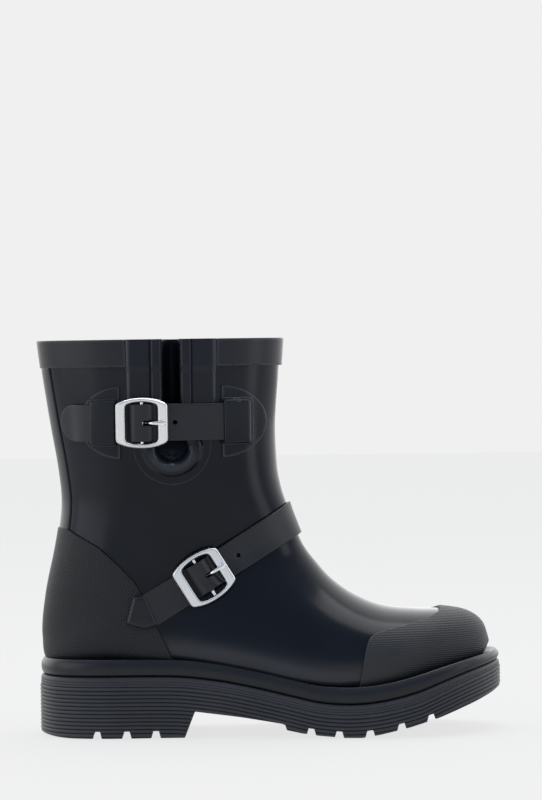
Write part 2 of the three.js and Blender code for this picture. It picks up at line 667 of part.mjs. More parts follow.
function strapTab(sideSign) {
  const keystone = [[-81, 85], [-74, 85.6], [-66.8, 68], [-74.4, 65.5], [-85.4, 68.6]];
  const prism = sideSign < 0 ? sidePrism(keystone, -90, -3) : sidePrism(keystone, 3, 90);
  return layer(COUNTER_PROUD + GAP, 5.8).intersect(prism).subtract(instepStrapBand(GAP));
}

// ---- assembly ----
const boot = new THREE.Group();

function add(name, made, material, parent = boot) {
  const mesh = new THREE.Mesh(geometryOf(made), new THREE.MeshStandardMaterial(material));
  mesh.name = name;
  parent.add(mesh);
}

add('upper_shell', upperShell(), RUBBER);
add('lining', lining(), TEXTILE);
add('gusset_panel', gussetPanel(), TEXTILE);
add('gusset_rim', gussetRim(), RUBBER);
add('collar_band', collarBand(), RUBBER);
add('back_stay', backStay(), RUBBER);
add('heel_counter', heelCounter(), MATT_RUBBER);
add('toe_cap', toeCap(), MATT_RUBBER);
add('rand', rand(), RUBBER);
add('outsole', outsole(), MATT_RUBBER);
add('heel_core', heelCore(), MATT_RUBBER);
add('shank', shank(), STEEL);
add('insole_board', insoleBoard(), BOARD);
add('footbed', footbed(), TEXTILE);
add('front_anchor', frontAnchor(), RUBBER);
add('rear_anchor', rearAnchor(), RUBBER);
add('calf_strap', calfStrap(), RUBBER);
add('instep_strap', instepStrap(), RUBBER);
add('instep_tab_outer', strapTab(-1), MATT_RUBBER);
add('instep_tab_inner', strapTab(1), MATT_RUBBER);
[['calf', CALF], ['instep', INSTEP]].forEach(([name, frame]) => {
  boot.add(frame);
  add(`${name}_buckle_frame`, buckleRing(), STEEL, frame);
  add(`${name}_buckle_bar`, buckleBar(), STEEL, frame);
  add(`${name}_buckle_prong`, prong(), STEEL, frame);
  add(`${name}_chape`, chape(19), RUBBER, frame);
});

export default boot;
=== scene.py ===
"""Ankle-high rubber rain boot with two buckled straps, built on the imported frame.

Lengths are in millimetres and become metres when a mesh is made. +X points to
the toe, +Z up, and -Y is the outer side of the foot.
"""
import math

import bmesh
import bpy
import numpy as np
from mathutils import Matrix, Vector
from mathutils.geometry import delaunay_2d_cdt


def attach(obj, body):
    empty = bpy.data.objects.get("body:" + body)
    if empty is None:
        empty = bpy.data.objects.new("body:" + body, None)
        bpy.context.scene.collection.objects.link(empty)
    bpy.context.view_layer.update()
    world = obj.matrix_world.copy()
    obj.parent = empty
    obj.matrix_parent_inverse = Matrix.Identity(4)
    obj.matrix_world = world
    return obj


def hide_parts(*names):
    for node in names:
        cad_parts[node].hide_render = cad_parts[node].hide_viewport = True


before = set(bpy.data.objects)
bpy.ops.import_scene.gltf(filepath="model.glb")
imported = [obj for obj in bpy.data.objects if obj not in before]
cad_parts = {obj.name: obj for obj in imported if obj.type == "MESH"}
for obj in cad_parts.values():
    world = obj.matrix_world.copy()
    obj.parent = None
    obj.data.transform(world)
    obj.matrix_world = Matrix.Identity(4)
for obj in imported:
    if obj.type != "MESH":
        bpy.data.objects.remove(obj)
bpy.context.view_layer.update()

# ---- driving dimensions ----
MM = 0.001
HEIGHT = 239.0              # floor to the top of the collar
GAP = 0.35                  # room between touching pieces
SHELL = 2.4                 # rubber wall
LINING = 1.3                # textile lining
COLLAR_WIDTH = 16.5
COLLAR_PROUD = 1.7
STAY_HALF = 16.5
STAY_PROUD = 1.3
COUNTER_PROUD = 1.7
COUNTER_TOP = 125.3
CAP_PROUD = 1.8
GUSSET_X = -56.8            # middle of the gusset, seen from the side
GUSSET_BOTTOM = 175.0       # centre of its round end
STRAP_THICK = 1.8
CALF_WIDTH = 22.0
INSTEP_WIDTH = 20.0
BAR_ABOVE_STRAP = 3.2       # buckle bar above the underside of its strap
STRAP_OVER_BAR = 2.35
BAR_RADIUS = 1.0
RAND_HEIGHT = 10.0
LIP_DROP = 16.4             # underside of the welt below the top of the rand
SEAT_DROP = 4.6
RIB_PITCH = 2.3
STRAP_LINE = 189.4          # height of the middle of the calf strap
SINK = 0.2                  # how far the foot of a laid-on piece goes into the skin
ROUND = 55.0                # millimetres of flat for each radian round the leg
ALONG = 25.0                # millimetres of flat for each section along the boot
PALE = (0.871, 0.871, 0.871, 1)

# The skin is a fan of flat sections from the collar to the toe: back (or bottom) x, z,
# front (or top) x, z, half-widths outer and inner, centre y, where the section is
# widest, and how square its back (bottom) and front (top) are.
SECTIONS = np.array([
    [-138.0, 239, 9.3, 239, 41.0, 41.0, 0.0, 0.50, 2.10, 2.10],
    [-135.2, 217, 7.6, 217, 40.5, 40.5, 0.0, 0.50, 2.10, 2.10],
    [-130.9, 189, 5.4, 189, 39.6, 39.6, 0.0, 0.50, 2.10, 2.10],
    [-126.3, 161, 6.1, 163, 38.5, 38.5, 0.0, 0.50, 2.10, 2.05],
    [-124.7, 139, 8.3, 149, 37.4, 37.4, 0.0, 0.50, 2.10, 2.00],
    [-128.2, 115, 10.9, 140, 36.2, 36.2, 0.0, 0.50, 2.10, 2.00],
    [-134.4, 86, 13.0, 133.2, 35.2, 35.2, 0.0, 0.50, 2.15, 2.00],
    [-136.8, 60, 15.3, 127, 35.0, 35.0, 0.0, 0.48, 2.20, 2.00],
    [-131.0, 43.6, 17.6, 121, 35.2, 35.2, 0.0, 0.45, 2.60, 2.00],
    [-98.0, 42.9, 21.6, 112.3, 36.0, 35.4, 0.0, 0.42, 3.60, 2.00],
    [-56.0, 42.3, 28.0, 103.6, 37.6, 36.0, -0.5, 0.38, 4.20, 2.00],
    [-16.0, 36.9, 38.2, 92.2, 41.0, 38.5, -1.2, 0.35, 4.40, 2.00],
    [17.0, 29.2, 52.0, 82.4, 45.5, 43.0, -1.0, 0.33, 4.40, 2.05],
    [45.0, 25.9, 69.0, 75.4, 47.0, 46.0, 0.0, 0.32, 4.40, 2.10],
    [74.0, 29.0, 88.0, 73.0, 44.5, 45.0, 2.0, 0.32, 4.20, 2.20],
    [98.0, 35.2, 106.0, 72.0, 37.5, 39.0, 4.0, 0.33, 3.80, 2.30],
    [116.0, 39.9, 120.0, 69.2, 28.0, 29.5, 5.5, 0.36, 3.20, 2.30],
    [127.0, 43.6, 128.6, 63.0, 16.5, 17.5, 6.5, 0.42, 2.60, 2.20],
    [132.4, 52.0, 132.4, 52.0, 0.0, 0.0, 7.0, 0.50, 2.00, 2.00],
])
LAST = len(SECTIONS) - 1

# Plan of the outsole from the back of the heel, along the outer side, and back.
PLAN = np.array([
    [-140.4, 0], [-130, -26.5], [-103, -38.5], [-60, -38.5], [-18, -40.5], [22, -47.5],
    [58, -52.5], [92, -48.5], [119, -35.5], [135, -16], [140.8, 6], [136, 26.5],
    [121, 40.5], [94, 49], [58, 50], [20, 42.5], [-20, 35.5], [-60, 35.5], [-103, 38], [-130, 26.5],
], float)
# Heights along the boot: top of the rand, and underside of the outsole.
RAND_LINE = [[-150, 47], [-60, 46.8], [-32, 44], [-10, 39.8], [12, 34.8], [28, 31.2], [44, 29.9],
             [60, 30.6], [75, 33], [90, 36.8], [105, 41], [122, 45], [150, 49]]
GROUND_LINE = [[-51.6, 0], [-45.4, 15.6], [-17, 11.9], [8.4, 7.9], [9.4, 4.4], [18.4, 2.6],
               [29, 1.2], [44, 0], [54, 0], [65, 1.7], [83, 5.6], [101, 10.7], [122, 18.2],
               [134, 22.6], [145, 27]]
# Gaps in the tread: middle along the boot, half-width at the ground and depth.
CLEAT_GAPS = [(-104.3, 2.3, 4.2), (-86.4, 2.3, 4.2), (-68.9, 2.3, 4.2),
              (24, 2.3, 3.6), (40.6, 2.3, 3.6), (59, 2.3, 3.6), (78, 2.3, 3.6), (96, 2.3, 3.6)]


# ---- small mathematics ----
def catmull(rows, place):
    """Rows of a table at fractional places, smooth through every row."""
    last = len(rows) - 1
    k = np.clip(np.floor(place).astype(int), 0, last - 1)
    a, b, c, d = (rows[np.clip(k + i, 0, last)] for i in (-1, 0, 1, 2))
    t = (place - k)[..., None]
    bend = (a - 2.5 * b + 2 * c - 0.5 * d) * t**2 + 0.5 * (d - a + 3 * (b - c)) * t**3
    return b + 0.5 * (c - a) * t + bend


def line_at(line, x):
    """Height of a line of points at x, with smooth turns between the points."""
    xs, ys = np.array(line, float).T
    steep = np.diff(ys) / np.diff(xs)
    slopes = np.r_[steep[0], (ys[2:] - ys[:-2]) / (xs[2:] - xs[:-2]), steep[-1]]
    x = np.clip(x, xs[0], xs[-1])
    k = np.clip(np.searchsorted(xs, x, side="right") - 1, 0, len(xs) - 2)
    w = xs[k + 1] - xs[k]
    t = (x - xs[k]) / w
    rise = ys[k + 1] - ys[k] - w * slopes[k]
    ease = w * (slopes[k] + slopes[k + 1]) - 2 * (ys[k + 1] - ys[k])
    return ys[k] + w * slopes[k] * t + (rise - ease) * t**2 + ease * t**3


def smooth_step(t):
    c = np.clip(t, 0, 1)
    return c * c * (3 - 2 * c)


def unit(vectors):
    return vectors / np.linalg.norm(vectors, axis=-1, keepdims=True)


def distances(points):
    """How far along a line each of its points lies."""
    return np.r_[0, np.cumsum(np.linalg.norm(np.diff(points, axis=0), axis=1))]


def rand_top(x):
    return line_at(RAND_LINE, x)


def toe_share(x):
    return 1 - 0.4 * np.clip((x - 90) / 50, 0, 1)


def groove_line(x):
    return rand_top(x) - RAND_HEIGHT * toe_share(x)


def lip_line(x):
    return rand_top(x) - LIP_DROP * toe_share(x)


# ---- the skin of the boot ----
def skin(u, v):
    """Point of the skin: u from the back or bottom (0) over the outer side to the front (pi)."""
    u, v = np.broadcast_arrays(np.asarray(u, float), np.asarray(v, float))
    bx, bz, fx, fz, outer, inner, middle, widest, rear, front = np.moveaxis(catmull(SECTIONS, v), -1, 0)
    c = np.cos(u)
    power = 2 / np.where(c > 0, rear, front)
    reach = np.abs(c) ** power
    s = np.where(c > 0, widest * (1 - reach), widest + (1 - widest) * reach)
    side = np.sin(u)
    half = np.where(side > 0, -outer, inner) * np.abs(side) ** power
    return np.stack([bx + (fx - bx) * s, middle + half, bz + (fz - bz) * s], -1)


def skin_normal(u, v):
    d = 0.02
    across = skin(u + d, v) - skin(u - d, v)
    along = skin(u, np.minimum(v + d, LAST - 0.001)) - skin(u, np.maximum(v - d, 0))
    return unit(np.cross(along, across))


def lifted(u, v, height):
    return skin(u, v) + skin_normal(u, v) * np.asarray(height)[..., None]


def halve(below, low, high, steps=34):
    """Where below() turns false, between low and high, for whole arrays at once."""
    for _ in range(steps):
        middle = (low + high) / 2
        under = below(middle)
        low, high = np.where(under, middle, low), np.where(under, high, middle)
    return low


def place_on_side(x, z):
    """(u, v) on the outer side of the skin of points in the side view."""
    x, z = np.asarray(x, float), np.asarray(z, float)

    def above(v):
        bx, bz, fx, fz = np.moveaxis(catmull(SECTIONS[:, :4], v), -1, 0)
        return (fx - bx) * (z - bz) - (fz - bz) * (x - bx) <= 0

    v = halve(above, np.zeros(x.shape), np.full(x.shape, LAST - 0.5))
    bx, bz, fx, fz, _, _, _, widest, rear, front = np.moveaxis(catmull(SECTIONS, v), -1, 0)
    s = ((x - bx) * (fx - bx) + (z - bz) * (fz - bz)) / ((fx - bx) ** 2 + (fz - bz) ** 2)
    behind = np.clip((widest - s) / widest, 0, 1) ** (rear / 2)
    ahead = -np.clip((s - widest) / (1 - widest), 0, 1) ** (front / 2)
    return np.arccos(np.where(s < widest, behind, ahead)), v


def crossing(u, plane):
    """v where, at angle u, the skin crosses a plane (x, z, slope) standing across the boot."""
    x, z, slope = plane

    def above(v):
        p = skin(u, v)
        return p[..., 2] > z + slope * (p[..., 0] - x)

    return halve(above, np.zeros(np.shape(u)), np.full(np.shape(u), 10.0))


# ---- outlines ----
def arc(centre, radius, start, end, count=24):
    angles = np.linspace(start, end, count)
    return np.stack([centre[0] + radius * np.cos(angles), centre[1] + radius * np.sin(angles)], -1)


def circle(radius, count, centre=(0, 0)):
    return arc(centre, radius, 0, math.tau, count + 1)[:-1]


def spread(points, step, closed=True):
    """The same line with points about step apart."""
    points = np.asarray(points, float)
    if closed:
        points = np.vstack([points, points[:1]])
    travel = distances(points)
    count = max(int(round(travel[-1] / step)), 8)
    stops = np.linspace(0, travel[-1], count + 1)
    if closed:
        stops = stops[:-1]
    return np.stack([np.interp(stops, travel, points[:, i]) for i in range(points.shape[1])], -1)


def oblong(start, end, low, high):
    return [[start, low], [end, low], [end, high], [start, high]]


def rounded(corners, radius, step):
    """A closed outline with its corners turned by about radius."""
    corners = np.asarray(corners, float)
    t = np.linspace(0, 1, 7)[:, None]
    made = []
    for i, corner in enumerate(corners):
        before, after = corners[i - 1] - corner, corners[(i + 1) % len(corners)] - corner
        starts = corner + unit(before) * min(radius, 0.48 * np.linalg.norm(before))
        ends = corner + unit(after) * min(radius, 0.48 * np.linalg.norm(after))
        made.append((1 - t) ** 2 * starts + 2 * t * (1 - t) * corner + t**2 * ends)
    return spread(np.vstack(made), step)


# ---- shapes ----
class Shape:
    """Points in millimetres, their flat coordinates, and faces, from several patches."""

    def __init__(self):
        self.points, self.flats, self.faces, self.worn, self.count = [], [], [], [], 0

    def add(self, points, faces, flat=None, facing=None, worn=0.0):
        """facing is the way that the faces should look, a vector for each point.

        The last argument is a painted highlight: how pale the points are painted, from 0 to 1, where
        edges and the gusset bead should catch light.
        """
        if facing is not None:
            a, b, c = (points[faces[:, i]] for i in range(3))
            looks = np.einsum("ij,ij->i", np.cross(b - a, c - a), facing[faces[:, 0]])
            if looks.sum() < 0:
                faces = faces[:, ::-1]
        self.points.append(points)
        self.flats.append(np.zeros((len(points), 2)) if flat is None else flat)
        self.faces.append(faces + self.count)
        self.worn.append(np.zeros(len(points)) + worn)
        self.count += len(points)
        return self


def grid_faces(rows, columns, closed=False):
    wide = columns if closed else columns - 1
    j, i = np.meshgrid(np.arange(rows - 1), np.arange(wide), indexing="ij")
    a = (j * columns + i).ravel()
    b = (j * columns + (i + 1) % columns).ravel()
    return np.stack([a, b, b + columns, a + columns], -1)


def in_loops(points, loops):
    """True for points inside the first loop and outside the others."""
    inside = np.zeros(len(points), bool)
    x, y = points.T
    for loop in loops:
        for (ax, ay), (bx, by) in zip(loop, np.roll(loop, -1, 0)):
            if ay == by:
                continue
            spans = (ay > y) != (by > y)
            inside ^= spans & (x < (bx - ax) * (y - ay) / (by - ay) + ax)
    return inside


def fill(loops, cell):
    """Points and triangles of the area between loops, on an even lattice of about cell."""
    loops = [loop / cell for loop in loops]
    low, high = loops[0].min(0), loops[0].max(0)
    row = math.sqrt(0.75)
    y, x = np.mgrid[low[1]:high[1]:row, low[0]:high[0]]
    x = x + 0.5 * (np.arange(len(x)) % 2)[:, None]
    lattice = np.stack([x.ravel(), y.ravel()], -1)
    lattice = lattice[in_loops(lattice, loops)]
    rim = np.vstack(loops)
    clear = [np.square(part[:, None] - rim).sum(-1).min(1) > 0.4
             for part in np.array_split(lattice, max(len(lattice) // 1500, 1))]
    points = np.vstack([rim, lattice[np.concatenate(clear)]])
    edges, start = [], 0
    for loop in loops:
        n = len(loop)
        edges += [(start + i, start + (i + 1) % n) for i in range(n)]
        start += n
    verts, _, faces, *_ = delaunay_2d_cdt([Vector(p) for p in points], edges, [], 0, 1e-7)
    points, faces = np.array(verts), np.array(faces)
    faces = faces[in_loops(points[faces].mean(1), loops)]
    return points * cell, faces


def inward(loop, place, sign):
    """For each point of a loop, the step in the flat that is 1 mm into the piece in space."""
    d = 0.05
    pa = (place(loop + [d, 0], 0.0) - place(loop - [d, 0], 0.0)) / (2 * d)
    pb = (place(loop + [0, d], 0.0) - place(loop - [0, d], 0.0)) / (2 * d)
    aa, ab, bb = (pa * pa).sum(1), (pa * pb).sum(1), (pb * pb).sum(1)
    along = np.roll(loop, -1, 0) - np.roll(loop, 1, 0)
    ahead = np.roll(loop, -1, 0)
    turn = sign * np.sign(np.sum(loop[:, 0] * ahead[:, 1] - loop[:, 1] * ahead[:, 0]))
    nx, ny = -along[:, 1] * turn, along[:, 0] * turn
    scale = aa * bb - ab * ab
    wx, wy = (bb * nx - ab * ny) / scale, (aa * ny - ab * nx) / scale
    return np.stack([wx, wy], -1) / np.sqrt(np.abs(nx * wx + ny * wy))[:, None]


def plate(shape, loops, place, profile, cell, bottom=None, relief=None, worn=0.0):
    """A piece cut to loops (the outer one, then holes) and laid where place(flat, height) says.

    profile is a list of (inset, height) from the foot of the edge to the level top.
    bottom closes it underneath at that height. relief(flat) is added to the top. The last argument is a
    painted highlight: how pale its edges are painted, as if they catch light.
    """
    bump = relief or (lambda flat: np.zeros(len(flat)))
    level = profile[-1][1]
    inner = []
    for number, loop in enumerate(loops):
        count = len(loop)
        step = inward(loop, place, 1 if number == 0 else -1)
        rings = np.vstack([loop + step * inset for inset, _ in profile])
        heights = np.repeat([float(height) for _, height in profile], count)
        heights[-count:] += bump(rings[-count:])
        outward = place(loop, profile[0][1]) - place(loop + step, 0.0)
        pale = worn * (np.arange(len(rings)) >= count)
        shape.add(place(rings, heights), grid_faces(len(profile), count, True), rings,
                  np.tile(outward, (len(profile), 1)), pale)
        inner.append(rings[-count:])
    flat, faces = fill(inner, np.array(cell))
    top = place(flat, level + bump(flat))
    rim = sum(len(loop) for loop in inner)
    shape.add(top, faces, flat, place(flat, level + 1.0) - top, worn * (np.arange(len(flat)) < rim))
    if bottom is not None:
        flat, faces = fill(loops, np.array(cell) * 1.6)
        under = place(flat, bottom)
        shape.add(under, faces, flat, under - place(flat, bottom + 1.0))
    return shape


def edge_profile(base, top, radius, steps=4):
    """(inset, height) from base straight up, then round a corner of radius to the top."""
    turn = np.linspace(0, math.pi / 2, steps + 1)
    corner = [(radius * (1 - math.cos(a)), top - radius * (1 - math.sin(a))) for a in turn]
    return [(0.0, base)] + corner


def read(mesh, name, kind, width):
    """A mesh's values as rows, one for each vertex."""
    values = np.zeros(width * len(mesh.vertices), np.float32)
    mesh.attributes[name].data.foreach_get(kind, values)
    return values.reshape(-1, width).astype(float)


def painted_light_at(mesh):
    """Painted light: how much paler the rubber is painted. It is lit at the top and at the back, with a
    painted reflection of the floor in a band just above the rand.
    """
    x, _, z = read(mesh, "position", "vector", 3).T / MM
    above = z - rand_top(x)
    top = 0.12 * smooth_step((z - 158) / 40)
    back = 0.12 * smooth_step((-78 - x) / 38)
    foot = 0.42 * np.exp(-((above - 6) / 6.5) ** 2)
    return np.maximum(np.maximum(top, back), foot)


def link(name, data):
    made = bpy.data.objects.new(name, data)
    bpy.context.scene.collection.objects.link(made)
    return made


def piece(name, shape, material, node, body="boot", crease=38.0):
    """A mesh object of a shape, in metres, riding on a body and standing for a CAD node."""
    points = np.vstack(shape.points)
    flats = np.vstack(shape.flats)
    loops = np.concatenate([f.ravel() for f in shape.faces]).astype(np.int32)
    sizes = np.concatenate([np.full(len(f), f.shape[1]) for f in shape.faces])
    starts = np.r_[0, np.cumsum(sizes)[:-1]].astype(np.int32)
    mesh = bpy.data.meshes.new(name)
    mesh.vertices.add(len(points))
    mesh.vertices.foreach_set("co", (points * MM).astype(np.float32).ravel())
    mesh.loops.add(len(loops))
    mesh.loops.foreach_set("vertex_index", loops)
    mesh.polygons.add(len(sizes))
    mesh.polygons.foreach_set("loop_start", starts)
    mesh.update(calc_edges=True)
    # the painted highlight of each point, from the shape
    edges = mesh.attributes.new("worn", "FLOAT", "POINT")
    edges.data.foreach_set("value", np.concatenate(shape.worn))
    layer = mesh.uv_layers.new(name="flat")
    layer.data.foreach_set("uv", (flats[loops] * MM).astype(np.float32).ravel())
    weld = 0.004 * MM
    work = bmesh.new()
    work.from_mesh(mesh)
    bmesh.ops.remove_doubles(work, verts=work.verts, dist=weld)
    bmesh.ops.dissolve_degenerate(work, edges=work.edges, dist=0.5 * weld)
    work.to_mesh(mesh)
    work.free()
    # painted light and painted edge highlights, kept in one attribute that makes the rubber paler
    mesh.attributes.new("painted_light", "FLOAT", "POINT")
    pale = np.maximum(painted_light_at(mesh), read(mesh, "worn", "value", 1)[:, 0])
    mesh.attributes["painted_light"].data.foreach_set("value", pale.astype(np.float32))
    mesh.shade_smooth()
    mesh.set_sharp_from_angle(angle=math.radians(crease))
    made = link(name, mesh)
    mesh.materials.append(material)
    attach(made, body)
    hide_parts(node)
    return made


# ---- camera, floor and light ----
def look_at(thing, target, roll=0.0):
    aim = Vector(target) - thing.location
    thing.rotation_euler = aim.to_track_quat("-Z", "Y").to_euler()
    thing.rotation_euler.rotate_axis("Z", roll)


def add_camera():
    data = bpy.data.cameras.new("camera")
    data.lens = 147.7
    data.sensor_width = 36.0
    camera = link("camera", data)
    camera.location = (0.0, -2.0, 0.2345)
    look_at(camera, (0.0028, 0.0, 0.2010), math.radians(-0.8))
    bpy.context.scene.camera = camera


def area_light(name, place, target, size, power):
    data = bpy.data.lights.new(name, "AREA")
    data.shape = "RECTANGLE"
    data.size, data.size_y = size
    data.energy = power
    light = link(name, data)
    light.location = place
    look_at(light, target)


def add_floor():
    """A round pale table that glows softly, so that it keeps one even tone under the boot."""
    count, radius, drop = 64, 5.0, 0.0005
    mesh = bpy.data.meshes.new("floor")
    rim = [(x, y, -drop) for x, y in circle(radius, count)]
    mesh.from_pydata(rim, [], [tuple(range(count))])
    glow = Nodes("pale_floor")
    mesh.materials.append(glow.finish((0.09, 0.09, 0.09, 1), 1.0, Specular_IOR_Level=0.0,
                                      Emission_Color=PALE, Emission_Strength=0.85))
    link("floor", mesh)


def add_world():
    """A pale studio, brightest behind the boot and bluer and dimmer in front of it."""
    world = bpy.data.worlds.new("studio")
    bpy.context.scene.world = world
    world.use_nodes = True
    world.node_tree.nodes.clear()
    n = NodeTree(world.node_tree)
    split = n.add("SeparateXYZ", {0: n.add("TexCoord").outputs["Generated"]})
    behind = n.math("MULTIPLY_ADD", split.outputs["Y"], 0.5, 0.5)
    stops = [(0.0, (0.44, 0.53, 0.68)), (0.14, (0.36, 0.44, 0.59)), (0.45, (0.56, 0.61, 0.70)),
             (0.75, (2.0, 2.0, 2.0))]
    studio = n.add("Background", {"Color": n.ramp(behind, stops)})
    plain = n.add("Background", {"Color": PALE})
    seen = n.add("LightPath").outputs["Is Camera Ray"]
    mix = n.add("MixShader", {0: seen, 1: studio.outputs[0], 2: plain.outputs[0]})
    n.add("OutputWorld", {"Surface": mix.outputs[0]})


# ---- materials ----
class NodeTree:
    """Adds shader nodes to a tree and links their inputs in one call."""

    def __init__(self, tree):
        self.tree = tree

    def supply(self, node, inputs):
        for key, value in inputs.items():
            if isinstance(value, bpy.types.NodeSocket):
                self.tree.links.new(value, node.inputs[key])
            else:
                node.inputs[key].default_value = value

    def add(self, kind, inputs=None, **settings):
        node = self.tree.nodes.new("ShaderNode" + kind)
        for key, value in settings.items():
            setattr(node, key, value)
        self.supply(node, inputs or {})
        return node

    def math(self, operation, a, b=0.0, c=0.0):
        return self.add("Math", {0: a, 1: b, 2: c}, operation=operation).outputs[0]

    def ramp(self, fac, stops):
        node = self.add("ValToRGB", {0: fac})
        band = node.color_ramp
        for _ in stops[2:]:
            band.elements.new(0.5)
        for element, (place, color) in zip(band.elements, stops):
            element.position = place
            element.color = color if len(color) == 4 else (*color, 1)
        return node.outputs[0]


class Nodes(NodeTree):
    """A material under construction, with its main shader."""

    def __init__(self, name):
        self.material = bpy.data.materials.new(name)
        self.material.use_nodes = True
        super().__init__(self.material.node_tree)
        self.shader = self.tree.nodes["Principled BSDF"]

    def place(self):
        return self.add("TexCoord").outputs["Object"]

    def flat(self):
        return self.add("UVMap", uv_map="flat").outputs[0]

    def noise(self, scale, detail=3.0):
        inputs = {"Vector": self.place(), "Scale": scale, "Detail": detail}
        return self.add("TexNoise", inputs).outputs[0]

    def bump(self, height, distance, strength=1.0, onto=None):
        inputs = {"Height": height, "Distance": distance * MM, "Strength": strength}
        if onto is not None:
            inputs["Normal"] = onto
        return self.add("Bump", inputs).outputs[0]

    def finish(self, color, roughness, normal=None, **others):
        """Fill in the main shader. In others, an input's spaces are written as underscores."""
        values = {key.replace("_", " "): value for key, value in others.items()}
        values |= {"Base Color": color, "Roughness": roughness}
        if normal is not None:
            values["Normal"] = normal
        self.supply(self.shader, values)
        return self.material

    def mottled(self, level, blue, low=0.9, high=1.15, scale=60.0):
        """A grey that drifts between two shares of level."""
        stops = [(0.3, grey(level * low, blue)), (0.7, grey(level * high, blue))]
        return self.ramp(self.noise(scale), stops)


def grey(level, blue=1.0):
    return (level, level * (1 + 0.25 * blue), level * (1 + 0.9 * blue), 1)


def wave_scale(pitch):
    """Scale of a wave texture whose bands lie pitch millimetres apart."""
    return 0.314 / (pitch * MM)


def rubber(name, level, rough, blue=1.0, grain=0.02, shine=0.45, painted_light_tone=None):
    """Moulded rubber: soft unevenness, a fine grain, and dulled patches.

    The last argument is the paler tone painted where the painted-light attribute is 1: painted light, a
    painted floor reflection and painted edge highlights.
    """
    n = Nodes(name)
    color = n.mottled(level, blue, 0.85, 1.2, 38.0)
    if painted_light_tone:
        painted_light = n.add("Attribute", attribute_name="painted_light").outputs["Fac"]
        patchy = n.math("MULTIPLY", painted_light, n.math("MULTIPLY_ADD", n.noise(22.0, 4.0), 0.6, 0.7))
        mix = n.add("MixRGB", {0: patchy, 1: color, 2: grey(painted_light_tone, 0.25)})
        color = mix.outputs[0]
    dull = n.math("MULTIPLY_ADD", n.noise(16.0, 5.0), 0.10, rough - 0.05)
    uneven = n.bump(n.noise(26.0, 2.0), 0.25, 0.35)
    normal = n.bump(n.noise(900.0, 2.0), grain, 0.5, uneven)
    return n.finish(color, dull, normal, Specular_IOR_Level=shine)


def hatch_rubber(name, level, rough):
    """Matt rubber with fine crossed diagonal cuts, on the flat coordinates."""
    n = Nodes(name)
    turned = []
    for angle in (0.76, -0.76):
        turn = n.add("VectorRotate", {"Vector": n.flat(), "Angle": angle}, rotation_type="Z_AXIS")
        wave = n.add("TexWave", {"Vector": turn.outputs[0], "Scale": wave_scale(1.6)},
                     wave_profile="SIN")
        turned.append(wave.outputs["Fac"])
    cuts = n.math("MULTIPLY", turned[0], turned[1])
    normal = n.bump(n.noise(500.0), 0.05, 0.5, n.bump(cuts, 0.3))
    return n.finish(n.mottled(level, 0.4), rough, normal, Specular_IOR_Level=0.3)


def wavy_rubber(name, level, rough):
    """Matt rubber with fine wavy level ribs that fade towards the rear."""
    n = Nodes(name)
    inputs = {"Vector": n.place(), "Scale": wave_scale(1.3), "Distortion": 1.6,
              "Detail": 1.0, "Detail Scale": 0.12}
    wave = n.add("TexWave", inputs, bands_direction="Z", wave_profile="SIN")
    split = n.add("SeparateXYZ", {0: n.place()})
    fade = n.add("MapRange", {0: split.outputs["X"], 1: 0.055, 2: 0.105, 3: 0.25, 4: 1.0})
    patchy = n.math("MULTIPLY", fade.outputs[0], n.math("MULTIPLY_ADD", n.noise(45.0), 1.2, 0.3))
    ribs = n.math("MULTIPLY", wave.outputs["Fac"], patchy)
    normal = n.bump(n.noise(500.0), 0.05, 0.5, n.bump(ribs, 0.22, 0.9))
    return n.finish(n.mottled(level, 0.3), rough, normal, Specular_IOR_Level=0.4)


def fabric(name, level, sheen=0.4):
    """Close knit: fine crossed loops with a soft sheen."""
    n = Nodes(name)
    waves = [n.add("TexWave", {"Vector": n.flat(), "Scale": wave_scale(0.9), "Distortion": 0.4},
                   bands_direction=way).outputs["Fac"] for way in ("X", "Y")]
    knit = n.math("MAXIMUM", waves[0], waves[1])
    color = n.ramp(knit, [(0.2, grey(level * 0.6, 0.5)), (0.9, grey(level * 1.3, 0.5))])
    return n.finish(color, 0.95, n.bump(knit, 0.25, 0.8), Sheen_Weight=sheen,
                    Specular_IOR_Level=0.1)


def metal(name, level, rough):
    n = Nodes(name)
    dull = n.math("MULTIPLY_ADD", n.noise(140.0, 4.0), 0.12, rough - 0.06)
    normal = n.bump(n.noise(420.0, 2.0), 0.02, 0.3)
    return n.finish((level, level, level * 0.985, 1), dull, normal, Metallic=1.0)


def board(name):
    n = Nodes(name)
    color = n.ramp(n.noise(260.0, 5.0), [(0.3, (0.10, 0.07, 0.04)), (0.7, (0.18, 0.13, 0.08))])
    return n.finish(color, 0.9, n.bump(n.noise(800.0), 0.1, 0.6))


def pleat_cloth_painted_shade():
    """Rubbered cloth with painted shade: near black up inside the deep fold, and paler, as painted
    light, on the bowl at its foot.
    """
    n = Nodes("pleat_cloth_painted_shade")
    split = n.add("SeparateXYZ", {0: n.place()})
    up = n.add("MapRange", {0: split.outputs["Z"], 1: 0.168, 2: 0.182}).outputs[0]
    # painted shade up in the fold and painted light on the bowl; the shine is also lowered up in the
    # fold
    color = n.ramp(up, [(0.0, grey(0.012)), (1.0, grey(0.0030))])
    shine = n.math("MULTIPLY_ADD", up, -0.12, 0.20)
    return n.finish(color, 0.45, n.bump(n.noise(500.0), 0.08, 0.5), Specular_IOR_Level=shine)


